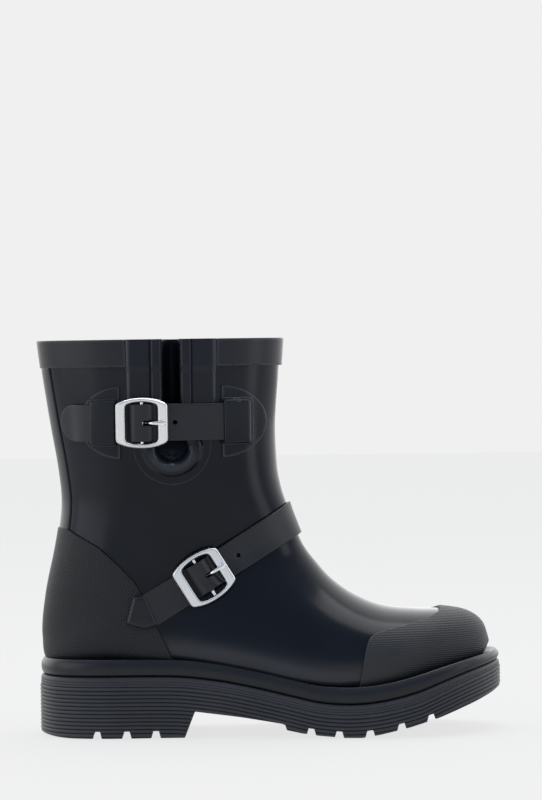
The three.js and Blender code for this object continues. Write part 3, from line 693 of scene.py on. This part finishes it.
# the last argument is the tone of the painted light and painted highlights on these two rubbers
GLOSS = rubber("gloss_rubber", 0.0028, 0.2, 2.2, shine=0.2, painted_light_tone=0.06)
OVERLAY = rubber("overlay_rubber", 0.0050, 0.32, 0.8, shine=0.32, painted_light_tone=0.04)
STRAP = rubber("strap_rubber", 0.0085, 0.42, 0.5, shine=0.38)
SOLE = rubber("sole_rubber", 0.018, 0.5, 0.4, 0.05)
HATCH = hatch_rubber("heel_rubber", 0.0065, 0.5)
WAVY = wavy_rubber("toe_rubber", 0.0145, 0.6)
KNIT = fabric("lining_knit", 0.012)
STEEL = metal("polished_steel", 0.80, 0.2)
BOARD = board("insole_board")
PLEAT = pleat_cloth_painted_shade()


# ---- where flat pieces lie ----
def on_side(sign):
    """Laid by the side view (x, z), on the outer (1) or inner (-1) side."""
    def place(flat, height):
        u, v = place_on_side(flat[:, 0], flat[:, 1])
        return lifted(u if sign > 0 else math.tau - u, v, height)
    return place


def on_leg(flat, height):
    """Laid by the angle round the leg and the height above the floor."""
    u = flat[:, 0] / ROUND
    points = lifted(u, crossing(u, (0, flat[:, 1], 0)), height)
    points[:, 2] = np.minimum(points[:, 2], HEIGHT)
    return points


def on_heel(flat, height):
    return lifted(flat[:, 0] / ROUND, flat[:, 1] / ALONG, height)


def on_toe(flat, height):
    """Laid round the tip of the toe: the middle of the flat is the tip."""
    u = np.arctan2(flat[:, 1], flat[:, 0]) % (math.tau)
    return lifted(u, LAST - np.maximum(np.hypot(flat[:, 0], flat[:, 1]) / ALONG, 0.02), height)


def toe_flat(u, v):
    return np.stack([(LAST - v) * ALONG * np.cos(u), (LAST - v) * ALONG * np.sin(u)], -1)


# ---- upper ----
def gusset_path(straight, bowl, top=HEIGHT):
    """An open U in the side view, down one side of the slot, round its end and up again."""
    x, z = GUSSET_X, GUSSET_BOTTOM
    turn = arc((x, z), bowl, math.pi, math.tau, 60)
    side = [[x - straight, top], [x - straight, z + 14]]
    return np.vstack([side, turn, [[x + straight, z + 14], [x + straight, top]]])


def in_slot(points, extra):
    outline = gusset_path(5.4 + extra, 9 + extra, HEIGHT + 9)
    return in_loops(points[:, [0, 2]], [outline]) & (points[:, 1] < 0)


def without_slot(points, faces, extra):
    middle = points[faces].mean(1)
    return faces[~in_slot(middle, extra)]


def skin_sheet(columns, rows, offset, first=0.0, last=LAST - 0.001):
    u = np.linspace(0, math.tau, columns, endpoint=False)
    v = np.linspace(first, last, rows)
    vv, uu = np.meshgrid(v, u, indexing="ij")
    points = lifted(uu.ravel(), vv.ravel(), offset)
    flat = np.stack([uu.ravel() * ROUND, vv.ravel() * ALONG], -1)
    return points, grid_faces(rows, columns, True), flat, skin_normal(uu.ravel(), vv.ravel())


def rim_rings(shape, columns, rows, extra):
    """A turned-over edge: rows of (offset, v, height or None), open where the slot is."""
    angle = np.linspace(0, math.tau, columns, endpoint=False)
    rings = []
    for offset, v, height in rows:
        ring = lifted(angle, v, offset)
        if height is not None:
            ring[:, 2] = height
        rings.append(ring)
    rings = np.vstack(rings)
    faces = without_slot(rings, grid_faces(len(rows), columns, True), extra)
    shape.add(rings, faces, None, np.tile([0, 0, 1.0], (len(rings), 1)))


def upper_shell():
    columns = 360
    points, faces, flat, normal = skin_sheet(columns, 420, 0.0)
    points[:columns, 2] = HEIGHT - 0.6
    shape = Shape()
    shape.add(points, without_slot(points, faces, 1.2), flat, normal)
    edge = [(0.0, -0.6), (-0.25, -0.15), (-0.7, 0.0), (-1.7, 0.0), (-2.15, -0.15), (-SHELL, -0.6),
            (-SHELL, -6)]
    rim_rings(shape, columns, [(offset, 0.0, HEIGHT + drop) for offset, drop in edge], 0.2)
    piece("upper_shell_skin", shape, GLOSS, "upper_shell")


def lining():
    columns = 200
    inside = SHELL + GAP + LINING
    points, faces, flat, normal = skin_sheet(columns, 200, -inside, 0.09, 17.3)
    shape = Shape()
    shape.add(points, without_slot(points, faces, 0.8), flat, -normal)
    edge = [(inside, 0.09), (inside - 0.3, 0.075), (inside - 0.9, 0.075), (SHELL + GAP, 0.12)]
    rim_rings(shape, columns, [(-offset, v, None) for offset, v in edge], 0.8)
    piece("lining_knit", shape, KNIT, "lining")


def gusset_panel():
    """The pleat behind the slot: a deep fold that runs out into a shallow bowl at its foot."""
    path = spread(gusset_path(5.0, 8.6, HEIGHT - 0.8), 0.9, closed=False)
    shares = np.array([0.0, 0.04, 0.12, 0.25, 0.4, 0.55, 0.7, 0.85, 0.95, 1.0])
    outer = on_side(1)(path, -1.2)
    depth = 4.0 + 8.5 * smooth_step((path[:, 1] - 168) / 26)
    rows = []
    for t in shares:
        close = 1 - 0.3 * t**3
        x = GUSSET_X + (path[:, 0] - GUSSET_X) * close
        low = np.minimum(path[:, 1] - GUSSET_BOTTOM, 0)
        z = path[:, 1] - low * (1 - close)
        rows.append(np.stack([x, outer[:, 1] + depth * t, z], -1))
    points = np.vstack(rows)
    flat = np.stack([np.tile(path[:, 1], len(shares)), np.repeat(shares * 14, len(path))], -1)
    shape = Shape()
    facing = [GUSSET_X, -2.0, 0.5] - points * [1, 0, 0]
    shape.add(points, grid_faces(len(shares), len(path)), flat, facing)
    pairs = len(path) // 2
    left, right = rows[-1][:pairs], rows[-1][::-1][:pairs]
    across = np.linspace(0, 1, 9)[:, None, None]
    back = left + (right - left) * across
    back[..., 1] += 1.5 * np.sin(math.pi * across[..., 0])
    back = back.reshape(-1, 3)
    shape.add(back, grid_faces(9, pairs), back[:, [0, 2]], np.tile([0, -1.0, 0], (len(back), 1)))
    piece("gusset_pleat", shape, PLEAT, "gusset_panel", crease=70)


def gusset_rim():
    """A U of rubber round the slot: a half-round bead with a thin flange outside it."""
    count = 420
    slot = spread(gusset_path(5.2, 9.0), 0.2, closed=False)
    stops = np.linspace(0, len(slot) - 1, count)
    inner = np.stack([np.interp(stops, np.arange(len(slot)), slot[:, i]) for i in (0, 1)], -1)
    x, z = inner.T
    low = smooth_step((GUSSET_BOTTOM + 26 - z) / 30)
    sag = smooth_step((GUSSET_BOTTOM + 2.5 - z) / 9)
    under_collar = smooth_step((z - 219) / 4)
    outward = np.where(inner[:, 1:] > GUSSET_BOTTOM, np.sign(inner[:, :1] - GUSSET_X) * [1.0, 0.0],
                       unit(inner - [GUSSET_X, GUSSET_BOTTOM]))
    bead = 7.2 + 2.8 * low
    reach = np.where(z > GUSSET_BOTTOM, 26.8 - 3.3 * low - np.abs(x - GUSSET_X), 14.4)
    flats, heights, worn = [], [], []
    for inset, height, sink in ((-0.001, -3.6, 0.0), (0.0, -1.7, 0.0), (0.0, -0.2, 1.2)):
        flats.append(inner + outward * inset)
        heights.append(height - sink * sag)
        worn.append(np.zeros(count))
    # stop runs from 0 to 1 over the bead, and on to 2 over the flange
    for stop in np.r_[np.linspace(0, 1, 22), 1 + np.linspace(0.02, 1, 14) ** 1.3]:
        t = min(stop, 1)
        far = bead * t + (reach - bead) * max(stop - 1, 0)
        crown = np.sin(math.pi * t) ** (0.55 + 0.25 * low + 0.3 * sag)
        height = 0.8 + 0.9 * under_collar + (1.5 + 0.9 * low + 0.8 * sag) * crown
        height = height - 0.8 * (1 - t) ** 8 - 1.2 * sag * (1 - t) ** 3
        groove = 0.75 * np.exp(-((far - bead) / 0.55) ** 2) * (1 - low)
        foot = 1.3 * under_collar - SINK
        edge = np.sqrt(np.clip((reach - far) / 0.5, 0, 1))
        flats.append(inner + outward * far[:, None])
        heights.append(np.where(stop > 1.93, foot + (height - foot) * edge, height) - groove)
        # painted highlight: a broad pale band on the inner slope of the bead round the foot of the U,
        # and pale flange edges
        pale = 0.55 * sag * np.exp(-((t - 0.38) / 0.22) ** 2)
        worn.append(np.maximum(pale * (stop <= 1), 0.6 * (stop > 1.88)))
    flat = np.vstack(flats)
    points = on_side(1)(flat, np.concatenate(heights))
    points[:, 2] = np.minimum(points[:, 2], HEIGHT)
    shape = Shape()
    shape.add(points, grid_faces(len(flats), count), flat, np.tile([0, -1.0, 0], (len(points), 1)),
              np.concatenate(worn))
    piece("gusset_bead", shape, GLOSS, "gusset_rim", crease=50)


def collar_band():
    low = HEIGHT - COLLAR_WIDTH
    opening, level = 26.95, 231.0
    start = place_on_side(GUSSET_X + opening, level)[0] * ROUND
    end = (place_on_side(GUSSET_X - opening, level)[0] + math.tau) * ROUND
    loop = rounded(oblong(start, end, low, HEIGHT), 0.8, 0.9)
    profile = edge_profile(-SINK, COLLAR_PROUD, 0.4)
    # its edges get a painted highlight
    shape = plate(Shape(), [loop], on_leg, profile, (1.3, 1.2), worn=0.5)
    piece("collar_strip", shape, OVERLAY, "collar_band")


def back_stay():
    heights = np.linspace(COUNTER_TOP - 1.5, HEIGHT - COLLAR_WIDTH + 0.5, 40)
    width = np.interp(heights, [125, 239], [36.8, 41.0])
    u = np.arcsin((STAY_HALF / width) ** 1.05) * ROUND
    left = np.stack([u, heights], -1)
    loop = rounded(np.vstack([left, (left * [-1, 1])[::-1]]), 0.8, 0.9)
    shape = plate(Shape(), [loop], on_leg, edge_profile(-SINK, 0.75 * STAY_PROUD, 0.8), (1.3, 1.3))
    piece("back_strip", shape, OVERLAY, "back_stay")


def heel_counter():
    side = spread([[-121.5, 125.3], [-115.7, 121.9], [-101.4, 114], [-90.3, 103.7], [-80.4, 93.5],
                   [-75.4, 84.6], [-67.3, 66.6], [-57.0, 45.0]], 3, closed=False)
    su, sv = place_on_side(side[:, 0], side[:, 1])
    count, ground = 23, 44.6
    bottom_u = np.linspace(su[-1], 0.0, count + 1)[1:]
    bottom_v = halve(lambda v: skin(bottom_u, v)[:, 2] > ground,
                     np.full(count, 6.0), np.full(count, 12.0))
    top_u = np.linspace(0, su[0], 8)[1:-1]
    top_v = crossing(top_u, (0, COUNTER_TOP, 0))
    half = np.vstack([np.stack([top_u, top_v], -1), np.stack([su, sv], -1),
                      np.stack([bottom_u, bottom_v], -1)]) * [ROUND, ALONG]
    loop = rounded(np.vstack([half, (half * [-1, 1])[::-1][1:]]), 0.6, 0.9)
    shape = plate(Shape(), [loop], on_heel, edge_profile(-SINK, COUNTER_PROUD, 0.6), (1.3, 1.2))
    # the hatch follows the way round the heel and the height above the floor
    for number, (x, y, z) in enumerate(points.T for points in shape.points):
        shape.flats[number] = np.stack([np.sign(y) * (np.abs(y) + x - PLAN[0, 0]), z], -1)
    piece("heel_cover", shape, HATCH, "heel_counter")


def toe_cap():
    side = spread([[52.6, 29.0], [55, 40.4], [57.1, 51.8], [58.8, 57.5], [63.0, 60.6], [73, 63],
                   [86.6, 65.5], [96, 68], [100.8, 70.0]], 2, closed=False)
    su, sv = place_on_side(side[:, 0], side[:, 1])
    top_v = halve(lambda v: skin(math.pi, v)[..., 0] < 103.0, np.array([12.0]), np.array([17.5]))
    low_v = np.linspace(sv[0] + 0.05, LAST - 0.05, 60)

    def behind_rand(u):
        x, _, z = skin(u, low_v).T
        return z < rand_top(x) - 1.2

    low_u = halve(behind_rand, np.zeros(len(low_v)), np.full(len(low_v), 2.0))
    low = np.stack([low_u, low_v], -1)[low_u > 0.01]
    half = np.vstack([[[math.pi, top_v[0]]], np.stack([su, sv], -1)[::-1], low])
    mirror = (half * [-1, 1] + [math.tau, 0])[::-1][:-1]
    outline = np.vstack([half, mirror])
    loop = rounded(toe_flat(outline[:, 0], outline[:, 1]), 1.0, 0.8)
    shape = plate(Shape(), [loop], on_toe, edge_profile(-SINK, CAP_PROUD, 0.8), (0.9, 0.9))
    piece("toe_cover", shape, WAVY, "toe_cap")


# ---- sole ----
def plan_ring(t, inset):
    """Points of the sole's outline at places t, moved in by inset."""
    wrapped = np.vstack([PLAN[-3:], PLAN, PLAN[:4]])

    def at(place):
        return catmull(wrapped, place + 3)

    along = at(t + 0.02) - at(t - 0.02)
    across = unit(np.stack([-along[:, 1], along[:, 0]], -1))
    return at(t) + across * np.asarray(inset)[..., None] * np.ones((len(t), 1))


def even_places(step):
    """Places round the outline that are about step apart."""
    t = np.linspace(0, len(PLAN), 4001)
    ring = plan_ring(t[:-1], 0.0)
    travel = distances(np.vstack([ring, ring[:1]]))
    return np.interp(np.linspace(0, travel[-1], int(travel[-1] / step), endpoint=False), travel, t)


def ring_stack(t, rows):
    """A shape of rows of (inset, height), each a number, an array or, for height, a line."""
    n = len(t)
    points = []
    for inset, height in rows:
        flat = plan_ring(t, np.broadcast_to(inset, n))
        level = height(flat[:, 0]) if callable(height) else np.broadcast_to(height, n)
        points.append(np.column_stack([flat, level]))
    points = np.vstack(points)
    away = (points - [np.mean(PLAN[:, 0]), 0, 0]) * [1, 1, 0]
    flat = np.stack([np.tile(np.arange(n) * 0.5, len(rows)), points[:, 2]], -1)
    return Shape().add(points, grid_faces(len(rows), n, True), flat, away)


def rand():
    rows = [(3.6, groove_line), (2.6, lambda x: groove_line(x) + 0.1)]
    for share in np.linspace(0, 1, 9):
        inset = 1.0 + 1.3 * (2 * abs(share - 0.45)) ** 2.6

        def level(x, share=share):
            return groove_line(x) + 0.5 + (rand_top(x) - 1.0 - groove_line(x)) * share
        rows.append((inset, level))
    rows += [(2.9, lambda x: rand_top(x) - 0.1), (3.6, rand_top), (4.6, rand_top),
             (6.5, lambda x: rand_top(x) - 0.6), (9.5, lambda x: rand_top(x) - 3)]
    piece("rand_band", ring_stack(even_places(0.8), rows), OVERLAY, "rand", crease=60)


def underside(x):
    """Lowest height of the sole along the boot, with the gaps between its cleats."""
    spring = 1.6 * np.clip((-118 - x) / 22, 0, 1) ** 2
    z = np.interp(x, *np.array(GROUND_LINE, float).T) + spring
    for middle, half, depth in CLEAT_GAPS:
        share = np.clip((half + 0.5 - np.abs(x - middle)) / 1.0, 0, 1)
        z = z + depth * share
    return z


def outsole():
    t = even_places(0.45)
    x = plan_ring(t, 0.0)[:, 0]
    low, lip = underside(x), lip_line(x)
    top = groove_line(x) - GAP
    # the welt: a plain band with fine grooves
    rows = [(7.0, top), (3.0, top), (1.9, top - 0.2), (1.2, top - 0.9)]
    grooves = 3
    for share in np.linspace(0, 1, 8 * grooves + 1):
        cut = max(math.cos(math.tau * grooves * share), 0.0) ** 6
        rows.append((0.85 - 0.2 * share + 0.3 * cut, top - 1.4 + (lip + 1.5 - top) * share))
    rows.append((1.5, lip + 0.05))
    # the ribs: half-rounds one under the other, down to the ground
    per_rib, depth = 8, 34
    for k in range(int(depth / RIB_PITCH * per_rib) + 1):
        dent = 1 - math.sqrt(max(math.sin(math.pi * (k % per_rib) / per_rib), 0.0))
        z = lip - k * RIB_PITCH / per_rib
        clear = np.clip((z - low) / 1.6, 0, 1)
        tuck = 1 - np.sqrt(1 - (1 - clear) ** 2)
        rows.append((0.15 + 0.85 * dent + tuck, np.maximum(z, low)))
    rows += [(2.0, underside), (3.0, lambda place: underside(place) + 0.3)]
    piece("outsole_sides", ring_stack(t, rows), SOLE, "outsole", crease=70)


def tread():
    edges = [m + s * (h + e) for m, h, _ in CLEAT_GAPS for s in (-1, 1) for e in (-0.5, 0.5)]
    x = np.unique(np.r_[np.linspace(-138, 138.4, 150), edges, np.linspace(-52.5, -44.5, 12)])
    ring = plan_ring(even_places(0.5), 1.6)
    outer, inner = ring[ring[:, 1] < 2], ring[ring[:, 1] >= 2]
    outer, inner = outer[np.argsort(outer[:, 0])], inner[np.argsort(inner[:, 0])]
    y0 = np.interp(x, outer[:, 0], outer[:, 1])
    y1 = np.interp(x, inner[:, 0], inner[:, 1])
    share = np.linspace(0, 1, 25)
    xx, ss = np.meshgrid(x, share, indexing="ij")
    yy = y0[:, None] + (y1 - y0)[:, None] * ss
    points = np.stack([xx, yy, underside(xx)], -1).reshape(-1, 3)
    shape = Shape()
    facing = np.tile([0, 0, -1.0], (len(points), 1))
    shape.add(points, grid_faces(len(x), len(share)), points[:, :2], facing)
    piece("outsole_tread", shape, SOLE, "outsole", crease=30)


def seat(x, rise):
    return rand_top(x) - SEAT_DROP + 2 * GAP + SHELL + LINING + rise


def footbed():
    """A foam insole with a raised, rounded rim that cups the heel."""
    middle, half = -3.0, 123.2
    x = middle + half * np.sin(np.linspace(-math.pi / 2, math.pi / 2, 90))
    margin = SHELL + LINING + 2 * GAP + 0.6
    u, v = place_on_side(x, seat(x, 5.0))
    outer = lifted(u, v, -margin)[:, :2]
    inner = lifted(math.tau - u, v, -margin)[:, :2]
    loop = rounded(np.vstack([outer, inner[::-1]]), 3.0, 1.6)

    def lay(flat, height):
        return np.column_stack([flat, seat(flat[:, 0], 0.0) + height])

    profile = [(1.2, 3.0), (0.4, 3.3), (0.0, 4.2), (0.1, 5.6), (0.7, 6.6), (1.8, 7.0), (3.2, 6.9)]

    def hollow(flat):
        heel = np.exp(-((flat[:, 0] + 92) / 34) ** 2 - (flat[:, 1] / 26) ** 2)
        ball = np.exp(-((flat[:, 0] - 52) / 34) ** 2 - (flat[:, 1] / 30) ** 2)
        return -1.0 * heel - 0.6 * ball

    shape = plate(Shape(), [loop], lay, profile, (2.2, 2.2), bottom=3.0, relief=hollow)
    piece("footbed_pad", shape, KNIT, "footbed")


# ---- straps and buckles ----
HUMP = [[-13, 0], [-9.2, 0], [-6.9, 0.46], [-4.6, 0.91], [-2.4, 1], [2.4, 0.98], [5.0, 0.7],
        [7.0, 0.28], [9.0, 0], [13, 0]]
HUMP_HEIGHT = BAR_ABOVE_STRAP + STRAP_OVER_BAR
# A strap's plane across the boot is x, z and slope. Its base is its height above the skin.
CALF_PLANE = (0.0, STRAP_LINE, 0.0)
INSTEP_PLANE = (-39.6, 96.0, 0.61)
CALF_BASE = 3.0
INSTEP_BASE = (0.6, 2.45)
PRONG_SLOT = (0.4, 7.4)     # ahead of the bar


class Strap:
    """A strap's course in a plane across the boot, from angle u0 to u1."""

    def __init__(self, plane, u0, u1, hub, base):
        self.plane, self.base = plane, base
        beyond = 0.08
        self.angles = np.linspace(u0 - beyond, u1 + beyond, 900)
        places = skin(self.angles, crossing(self.angles, plane))
        self.travel = distances(places)
        self.travel -= np.interp(u0, self.angles, self.travel)
        self.length = np.interp(u1, self.angles, self.travel)
        self.hub = np.interp(hub[0], self.angles, self.travel)

    def underside(self, stop):
        from_hub = stop - self.hub
        from_end = np.minimum(stop, self.length - stop)
        return self.base(from_hub, from_end) + HUMP_HEIGHT * line_at(HUMP, from_hub)

    def place(self, flat, height):
        """flat is (distance along, distance across); height is above the underside."""
        stop = flat[:, 0]
        u = np.interp(stop, self.travel, self.angles)
        v = crossing(u, self.plane)
        d = 0.02
        along = skin(u + d, crossing(u + d, self.plane)) - skin(u - d, crossing(u - d, self.plane))
        down = unit(np.cross(along, skin_normal(u, v)))
        stride = flat[:, 1] / 8
        for _ in range(8):
            su = (skin(u + d, v) - skin(u - d, v)) / (2 * d)
            sv = (skin(u, v + d) - skin(u, v - d)) / (2 * d)
            uu, uv, vv = (su * su).sum(1), (su * sv).sum(1), (sv * sv).sum(1)
            gu, gv = (su * down).sum(1) * stride, (sv * down).sum(1) * stride
            scale = uu * vv - uv * uv
            u, v = u + (gu * vv - gv * uv) / scale, v + (gv * uu - gu * uv) / scale
        return lifted(u, v, self.underside(stop) + height)


def calf_base(from_hub, _):
    """The free end lies flat on the boot; from there the strap rises to pass its loops."""
    flat = 0.25
    return flat + (CALF_BASE - flat) * smooth_step((from_hub + 47) / 12)


def instep_base(from_hub, from_end):
    """The strap lies low over the instep and rises to its buckle and to its keystones."""
    raised = np.maximum(smooth_step((34 - from_hub) / 18), smooth_step((20 - from_end) / 10))
    return INSTEP_BASE[0] + (INSTEP_BASE[1] - INSTEP_BASE[0]) * raised


def hub_frame(hub, forward, base):
    """Middle and axes (along the strap, across it, away from the boot) of a buckle."""
    point, out = skin(*hub), skin_normal(*hub)
    forward = np.array(forward, float)
    along = unit(forward - out * (forward @ out))
    return point + out * (base + BAR_ABOVE_STRAP), np.stack([along, np.cross(out, along), out])


def strap_piece(name, strap, width, hole, node, round_end=False):
    """A strap with a round hole at a distance from its buckle, and the slot for the prong."""
    half, right = width / 2, math.pi / 2
    corners = oblong(0, strap.length, -half, half)
    if round_end:
        tip = arc((half * 0.95, 0), half, right, 3 * right, 24)
        corners = np.vstack([tip, corners[1:3]])
    a, b = PRONG_SLOT
    front = arc((strap.hub + b - 1.6, 0), 1.5, -right, right, 10)
    rear = arc((strap.hub + a + 1.6, 0), 1.5, right, 3 * right, 10)
    loops = [rounded(corners, 1.0, 0.9), circle(1.3, 20, (strap.hub + hole, 0)),
             spread(np.vstack([front, rear]), 0.6)]
    profile = edge_profile(0.0, STRAP_THICK, 0.55, 3)
    shape = plate(Shape(), loops, strap.place, profile, (0.9, 0.9), bottom=0.0)
    piece(name, shape, STRAP, node, crease=60)


CALF_HUB = place_on_side(-73.9, STRAP_LINE)
INSTEP_HUB = place_on_side(*INSTEP_PLANE[:2])
CALF_ENDS = place_on_side([-122.5, -14.0], [STRAP_LINE, STRAP_LINE])[0]
INSTEP_START = float(place_on_side(-73.0, 75.0)[0])
calf = Strap(CALF_PLANE, CALF_ENDS[0], CALF_ENDS[1], CALF_HUB, calf_base)
instep = Strap(INSTEP_PLANE, INSTEP_START, math.tau - INSTEP_START, INSTEP_HUB, instep_base)


def strap_tab(name, sign, node):
    """A keystone that holds down the end of the instep strap."""
    corners = [[-81, 85], [-74, 85.6], [-66.8, 68], [-74.4, 65.5], [-85.4, 68.6]]
    loop = rounded(corners, 1.2, 0.7)
    profile = [(0, 1.4), (0, 4.1), (0.35, 4.7), (1.5, 5.6), (1.9, 5.75)]
    shape = plate(Shape(), [loop], on_side(sign), profile, (0.9, 0.9))
    piece(name, shape, OVERLAY, node, crease=25)


def anchor(name, x, facing, reach, tunnel, node):
    """A D-shaped patch with a raised loop that the calf strap passes through."""
    middle, half = STRAP_LINE - 0.1, 21.6
    low, high = middle - 13.3, middle + 13.4
    strap_half = CALF_WIDTH / 2 + GAP
    roof = CALF_BASE + STRAP_THICK + GAP
    turn = np.linspace(-math.pi / 2, math.pi / 2, 41)
    outline = np.stack([x + facing * reach * np.cos(turn), middle + half * np.sin(turn)], -1)
    place, cell = on_side(1), (0.9, 0.9)
    shape = Shape()
    patch = edge_profile(-SINK, 1.6, 0.5)
    # the patch's edges get a painted highlight
    plate(shape, [rounded(outline, 0.8, 0.8)], place, patch, (1.0, 1.0), worn=0.5)
    hood = [(0.0, roof), (0.0, roof + 0.25), (0.4, roof + 0.9), (0.9, roof + 1.2), (1.0, roof + 1.25)]
    plate(shape, [rounded(oblong(*tunnel, low, high), 1.8, 0.7)], place, hood, cell, bottom=roof)
    for foot, head in ((low, middle - strap_half), (middle + strap_half, high)):
        wall = rounded(oblong(*tunnel, foot, head), 0.4, 0.6)
        plate(shape, [wall], place, [(0.0, 1.0), (0.0, roof + 0.35)], cell)
    # a low step round the loop, wider on the side of the D's bow
    root, near = tunnel if facing > 0 else tunnel[::-1]
    step = oblong(*sorted((root, near + facing * 3.4)), low - 1.3, high + 1.3)
    ridge = [(0.0, 1.2), (0.1, 1.9), (0.5, 2.5), (1.0, 2.7)]
    # the step's edges get a fainter painted highlight
    plate(shape, [rounded(step, 2.4, 0.6)], place, ridge, cell, worn=0.3)
    piece(name, shape, GLOSS, node, crease=40)


def in_hub(hub):
    centre, axes = hub

    def place(flat, height):
        return centre + np.column_stack([flat, np.broadcast_to(height, len(flat))]) @ axes
    return place


BUCKLE_LONG, BUCKLE_SIDE, BUCKLE_RAIL = 31.4, 6.2, 2.8
BUCKLE_END, BUCKLE_ARCH = 11.6, 15.2        # half-width at the corners and in the middle


def arched(half_long, end, arch, step):
    """A closed outline with straight ends and bowed long sides."""
    t = np.linspace(-0.7, 0.7, 17)
    bow = np.stack([half_long * t, end + (arch - end) * (1 - np.abs(t) ** 2.2)], -1)
    corner = 4.7
    side = np.array([[half_long, z] for z in (end, end - corner, corner - end, -end)])
    return rounded(np.vstack([bow, side, -bow, -side]), 2.3, step)


def buckle(name, hub):
    """The ring: bevelled, with a fine groove that leaves a bead round its edge."""
    outer = arched(BUCKLE_LONG / 2, BUCKLE_END, BUCKLE_ARCH, 0.6)
    window = arched(BUCKLE_LONG / 2 - BUCKLE_SIDE, BUCKLE_END - 0.9, BUCKLE_ARCH - BUCKLE_RAIL, 0.6)
    profile = [(0.35, 0.1), (0.0, 0.5), (0.0, 1.5), (0.25, 2.1), (0.6, 2.42), (0.72, 2.4),
               (0.84, 2.12), (0.98, 2.12), (1.1, 2.42), (1.22, 2.48), (1.45, 2.48)]
    loops = [outer, rounded(window, 0.3, 0.5)]
    shape = plate(Shape(), loops, in_hub(hub), profile, (0.9, 0.9), bottom=0.1)
    piece(f"{name}_clasp_ring", shape, STEEL, f"{name}_buckle_frame",
          f"{name}_buckle", crease=30)


def sweep(hub, centres, rings):
    """A shape through rings of points round centres, in a buckle's own axes."""
    place, sides = in_hub(hub), len(rings[0])
    points, middles = np.vstack(rings), np.repeat(centres, sides, axis=0)
    laid = place(points[:, :2], points[:, 2])
    outward = laid - place(middles[:, :2], middles[:, 2])
    return Shape().add(laid, grid_faces(len(rings), sides, True), None, outward)


def buckle_bar(name, hub):
    half = BUCKLE_ARCH - BUCKLE_RAIL + 0.6
    stops = np.linspace(-half, half, 9)
    rings = [np.insert(circle(BAR_RADIUS, 24), 1, y, axis=1) for y in stops]
    shape = sweep(hub, np.outer(stops, [0, 1, 0]), rings)
    piece(f"{name}_clasp_bar", shape, STEEL, f"{name}_buckle_bar", f"{name}_buckle")


def buckle_prong(name, hub):
    """A round pin that hooks on the bar, rises through the strap and ends in a knob."""
    eye = np.insert(arc((0, 0), 1.62, 0.5 * math.pi, 1.95 * math.pi, 14), 1, 0, axis=1)
    rise = np.array([[2.6, 0, 0.6], [4.0, 0, 1.9], [5.6, 0, 2.9], [7.4, 0, 3.35], [9.6, 0, 3.5],
                     [11.4, 0, 3.5], [12.4, 0, 3.55], [13.2, 0, 3.55], [13.9, 0, 3.5], [14.3, 0, 3.45]])
    centres = np.vstack([eye, rise])
    radii = np.r_[np.full(14, 0.4), [0.55, 0.75, 0.9, 1.0, 1.1, 1.35, 1.9, 2.1, 1.6, 0.6]]
    # the knob is flat enough to lie on the ring without sinking into it
    thick = np.minimum(0.85 * radii, 0.82)
    up = unit(np.cross(unit(np.gradient(centres, axis=0)), [0, 1.0, 0]))
    sides = 20
    wide, high = circle(1.0, sides).T[..., None]
    rings = [c + r * wide * [0, 1.0, 0] + h * high * k for c, r, h, k in zip(centres, radii, thick, up)]
    shape = sweep(hub, centres, rings)
    points = shape.points[0]
    for row, way in ((0, -1), (len(centres) - 1, 1)):
        facing = np.tile(way * (points[-1] - points[0]), (len(points), 1))
        shape.add(points, np.arange(sides)[None, :] + row * sides, None, facing)
    piece(f"{name}_clasp_pin", shape, STEEL, f"{name}_buckle_prong", f"{name}_prong")


def chape(name, hub):
    """The short loop of strap that holds the bar, in two halves with room for the prong between."""
    centre, axes = hub
    eye = arc((0, 0), 1.95, -0.54 * math.pi, 1.11 * math.pi, 26)
    tail = [[-4, -3.6], [-13, -4.15], [-13, -4.85], [-3.6, -4.3]]
    outline = spread(np.vstack([eye, tail]), 0.35)
    hole = circle(BAR_RADIUS + 0.3, 24)
    profile = [(0.0, 1.5), (0.0, 9.15), (0.08, 9.4), (0.2, 9.5)]
    shape = Shape()
    for side in (-1, 1):
        def place(flat, height, side=side):
            across = np.broadcast_to(side * height, len(flat))
            return centre + np.column_stack([flat[:, 0], across, flat[:, 1]]) @ axes
        plate(shape, [outline, hole], place, profile, (0.5, 0.5), bottom=1.5)
    piece(f"{name}_loop", shape, STRAP, f"{name}_chape")


def carried_over():
    """CAD pieces that stay: they get their finish here."""
    finish = {"heel_core": SOLE, "shank": STEEL, "insole_board": BOARD}
    for name, material in finish.items():
        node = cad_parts[name]
        node.data.materials.clear()
        node.data.materials.append(material)


add_camera()
add_floor()
add_world()
area_light("top", (0.1, 0.2, 1.7), (0, 0, 0.1), (1.6, 1.0), 16)
area_light("left", (-1.6, -0.8, 0.6), (0, 0, 0.15), (1.5, 1.5), 9)
area_light("right", (1.6, -0.62, 0.6), (0, 0, 0.12), (0.45, 1.5), 3.6)
bpy.context.scene.view_settings.view_transform = "Standard"

upper_shell()
lining()
gusset_panel()
gusset_rim()
collar_band()
back_stay()
heel_counter()
toe_cap()
rand()
outsole()
tread()
footbed()
strap_piece("calf_belt", calf, CALF_WIDTH, 19.0, "calf_strap", round_end=True)
strap_piece("instep_belt", instep, INSTEP_WIDTH, 24.5, "instep_strap")
strap_tab("outer_keystone", 1, "instep_tab_outer")
strap_tab("inner_keystone", -1, "instep_tab_inner")
anchor("front_loop", -27.0, 1, 26.0, (-27.0, -12.4), "front_anchor")
anchor("rear_loop", -87.6, -1, 24.5, (-103.6, -89.0), "rear_anchor")
hubs = {"calf": hub_frame(CALF_HUB, (1, 0, 0), CALF_BASE),
        "instep": hub_frame(INSTEP_HUB, (1, 0, INSTEP_PLANE[2]), INSTEP_BASE[1])}
for which, hub in hubs.items():
    for part in (chape, buckle, buckle_bar, buckle_prong):
        part(which, hub)
carried_over()
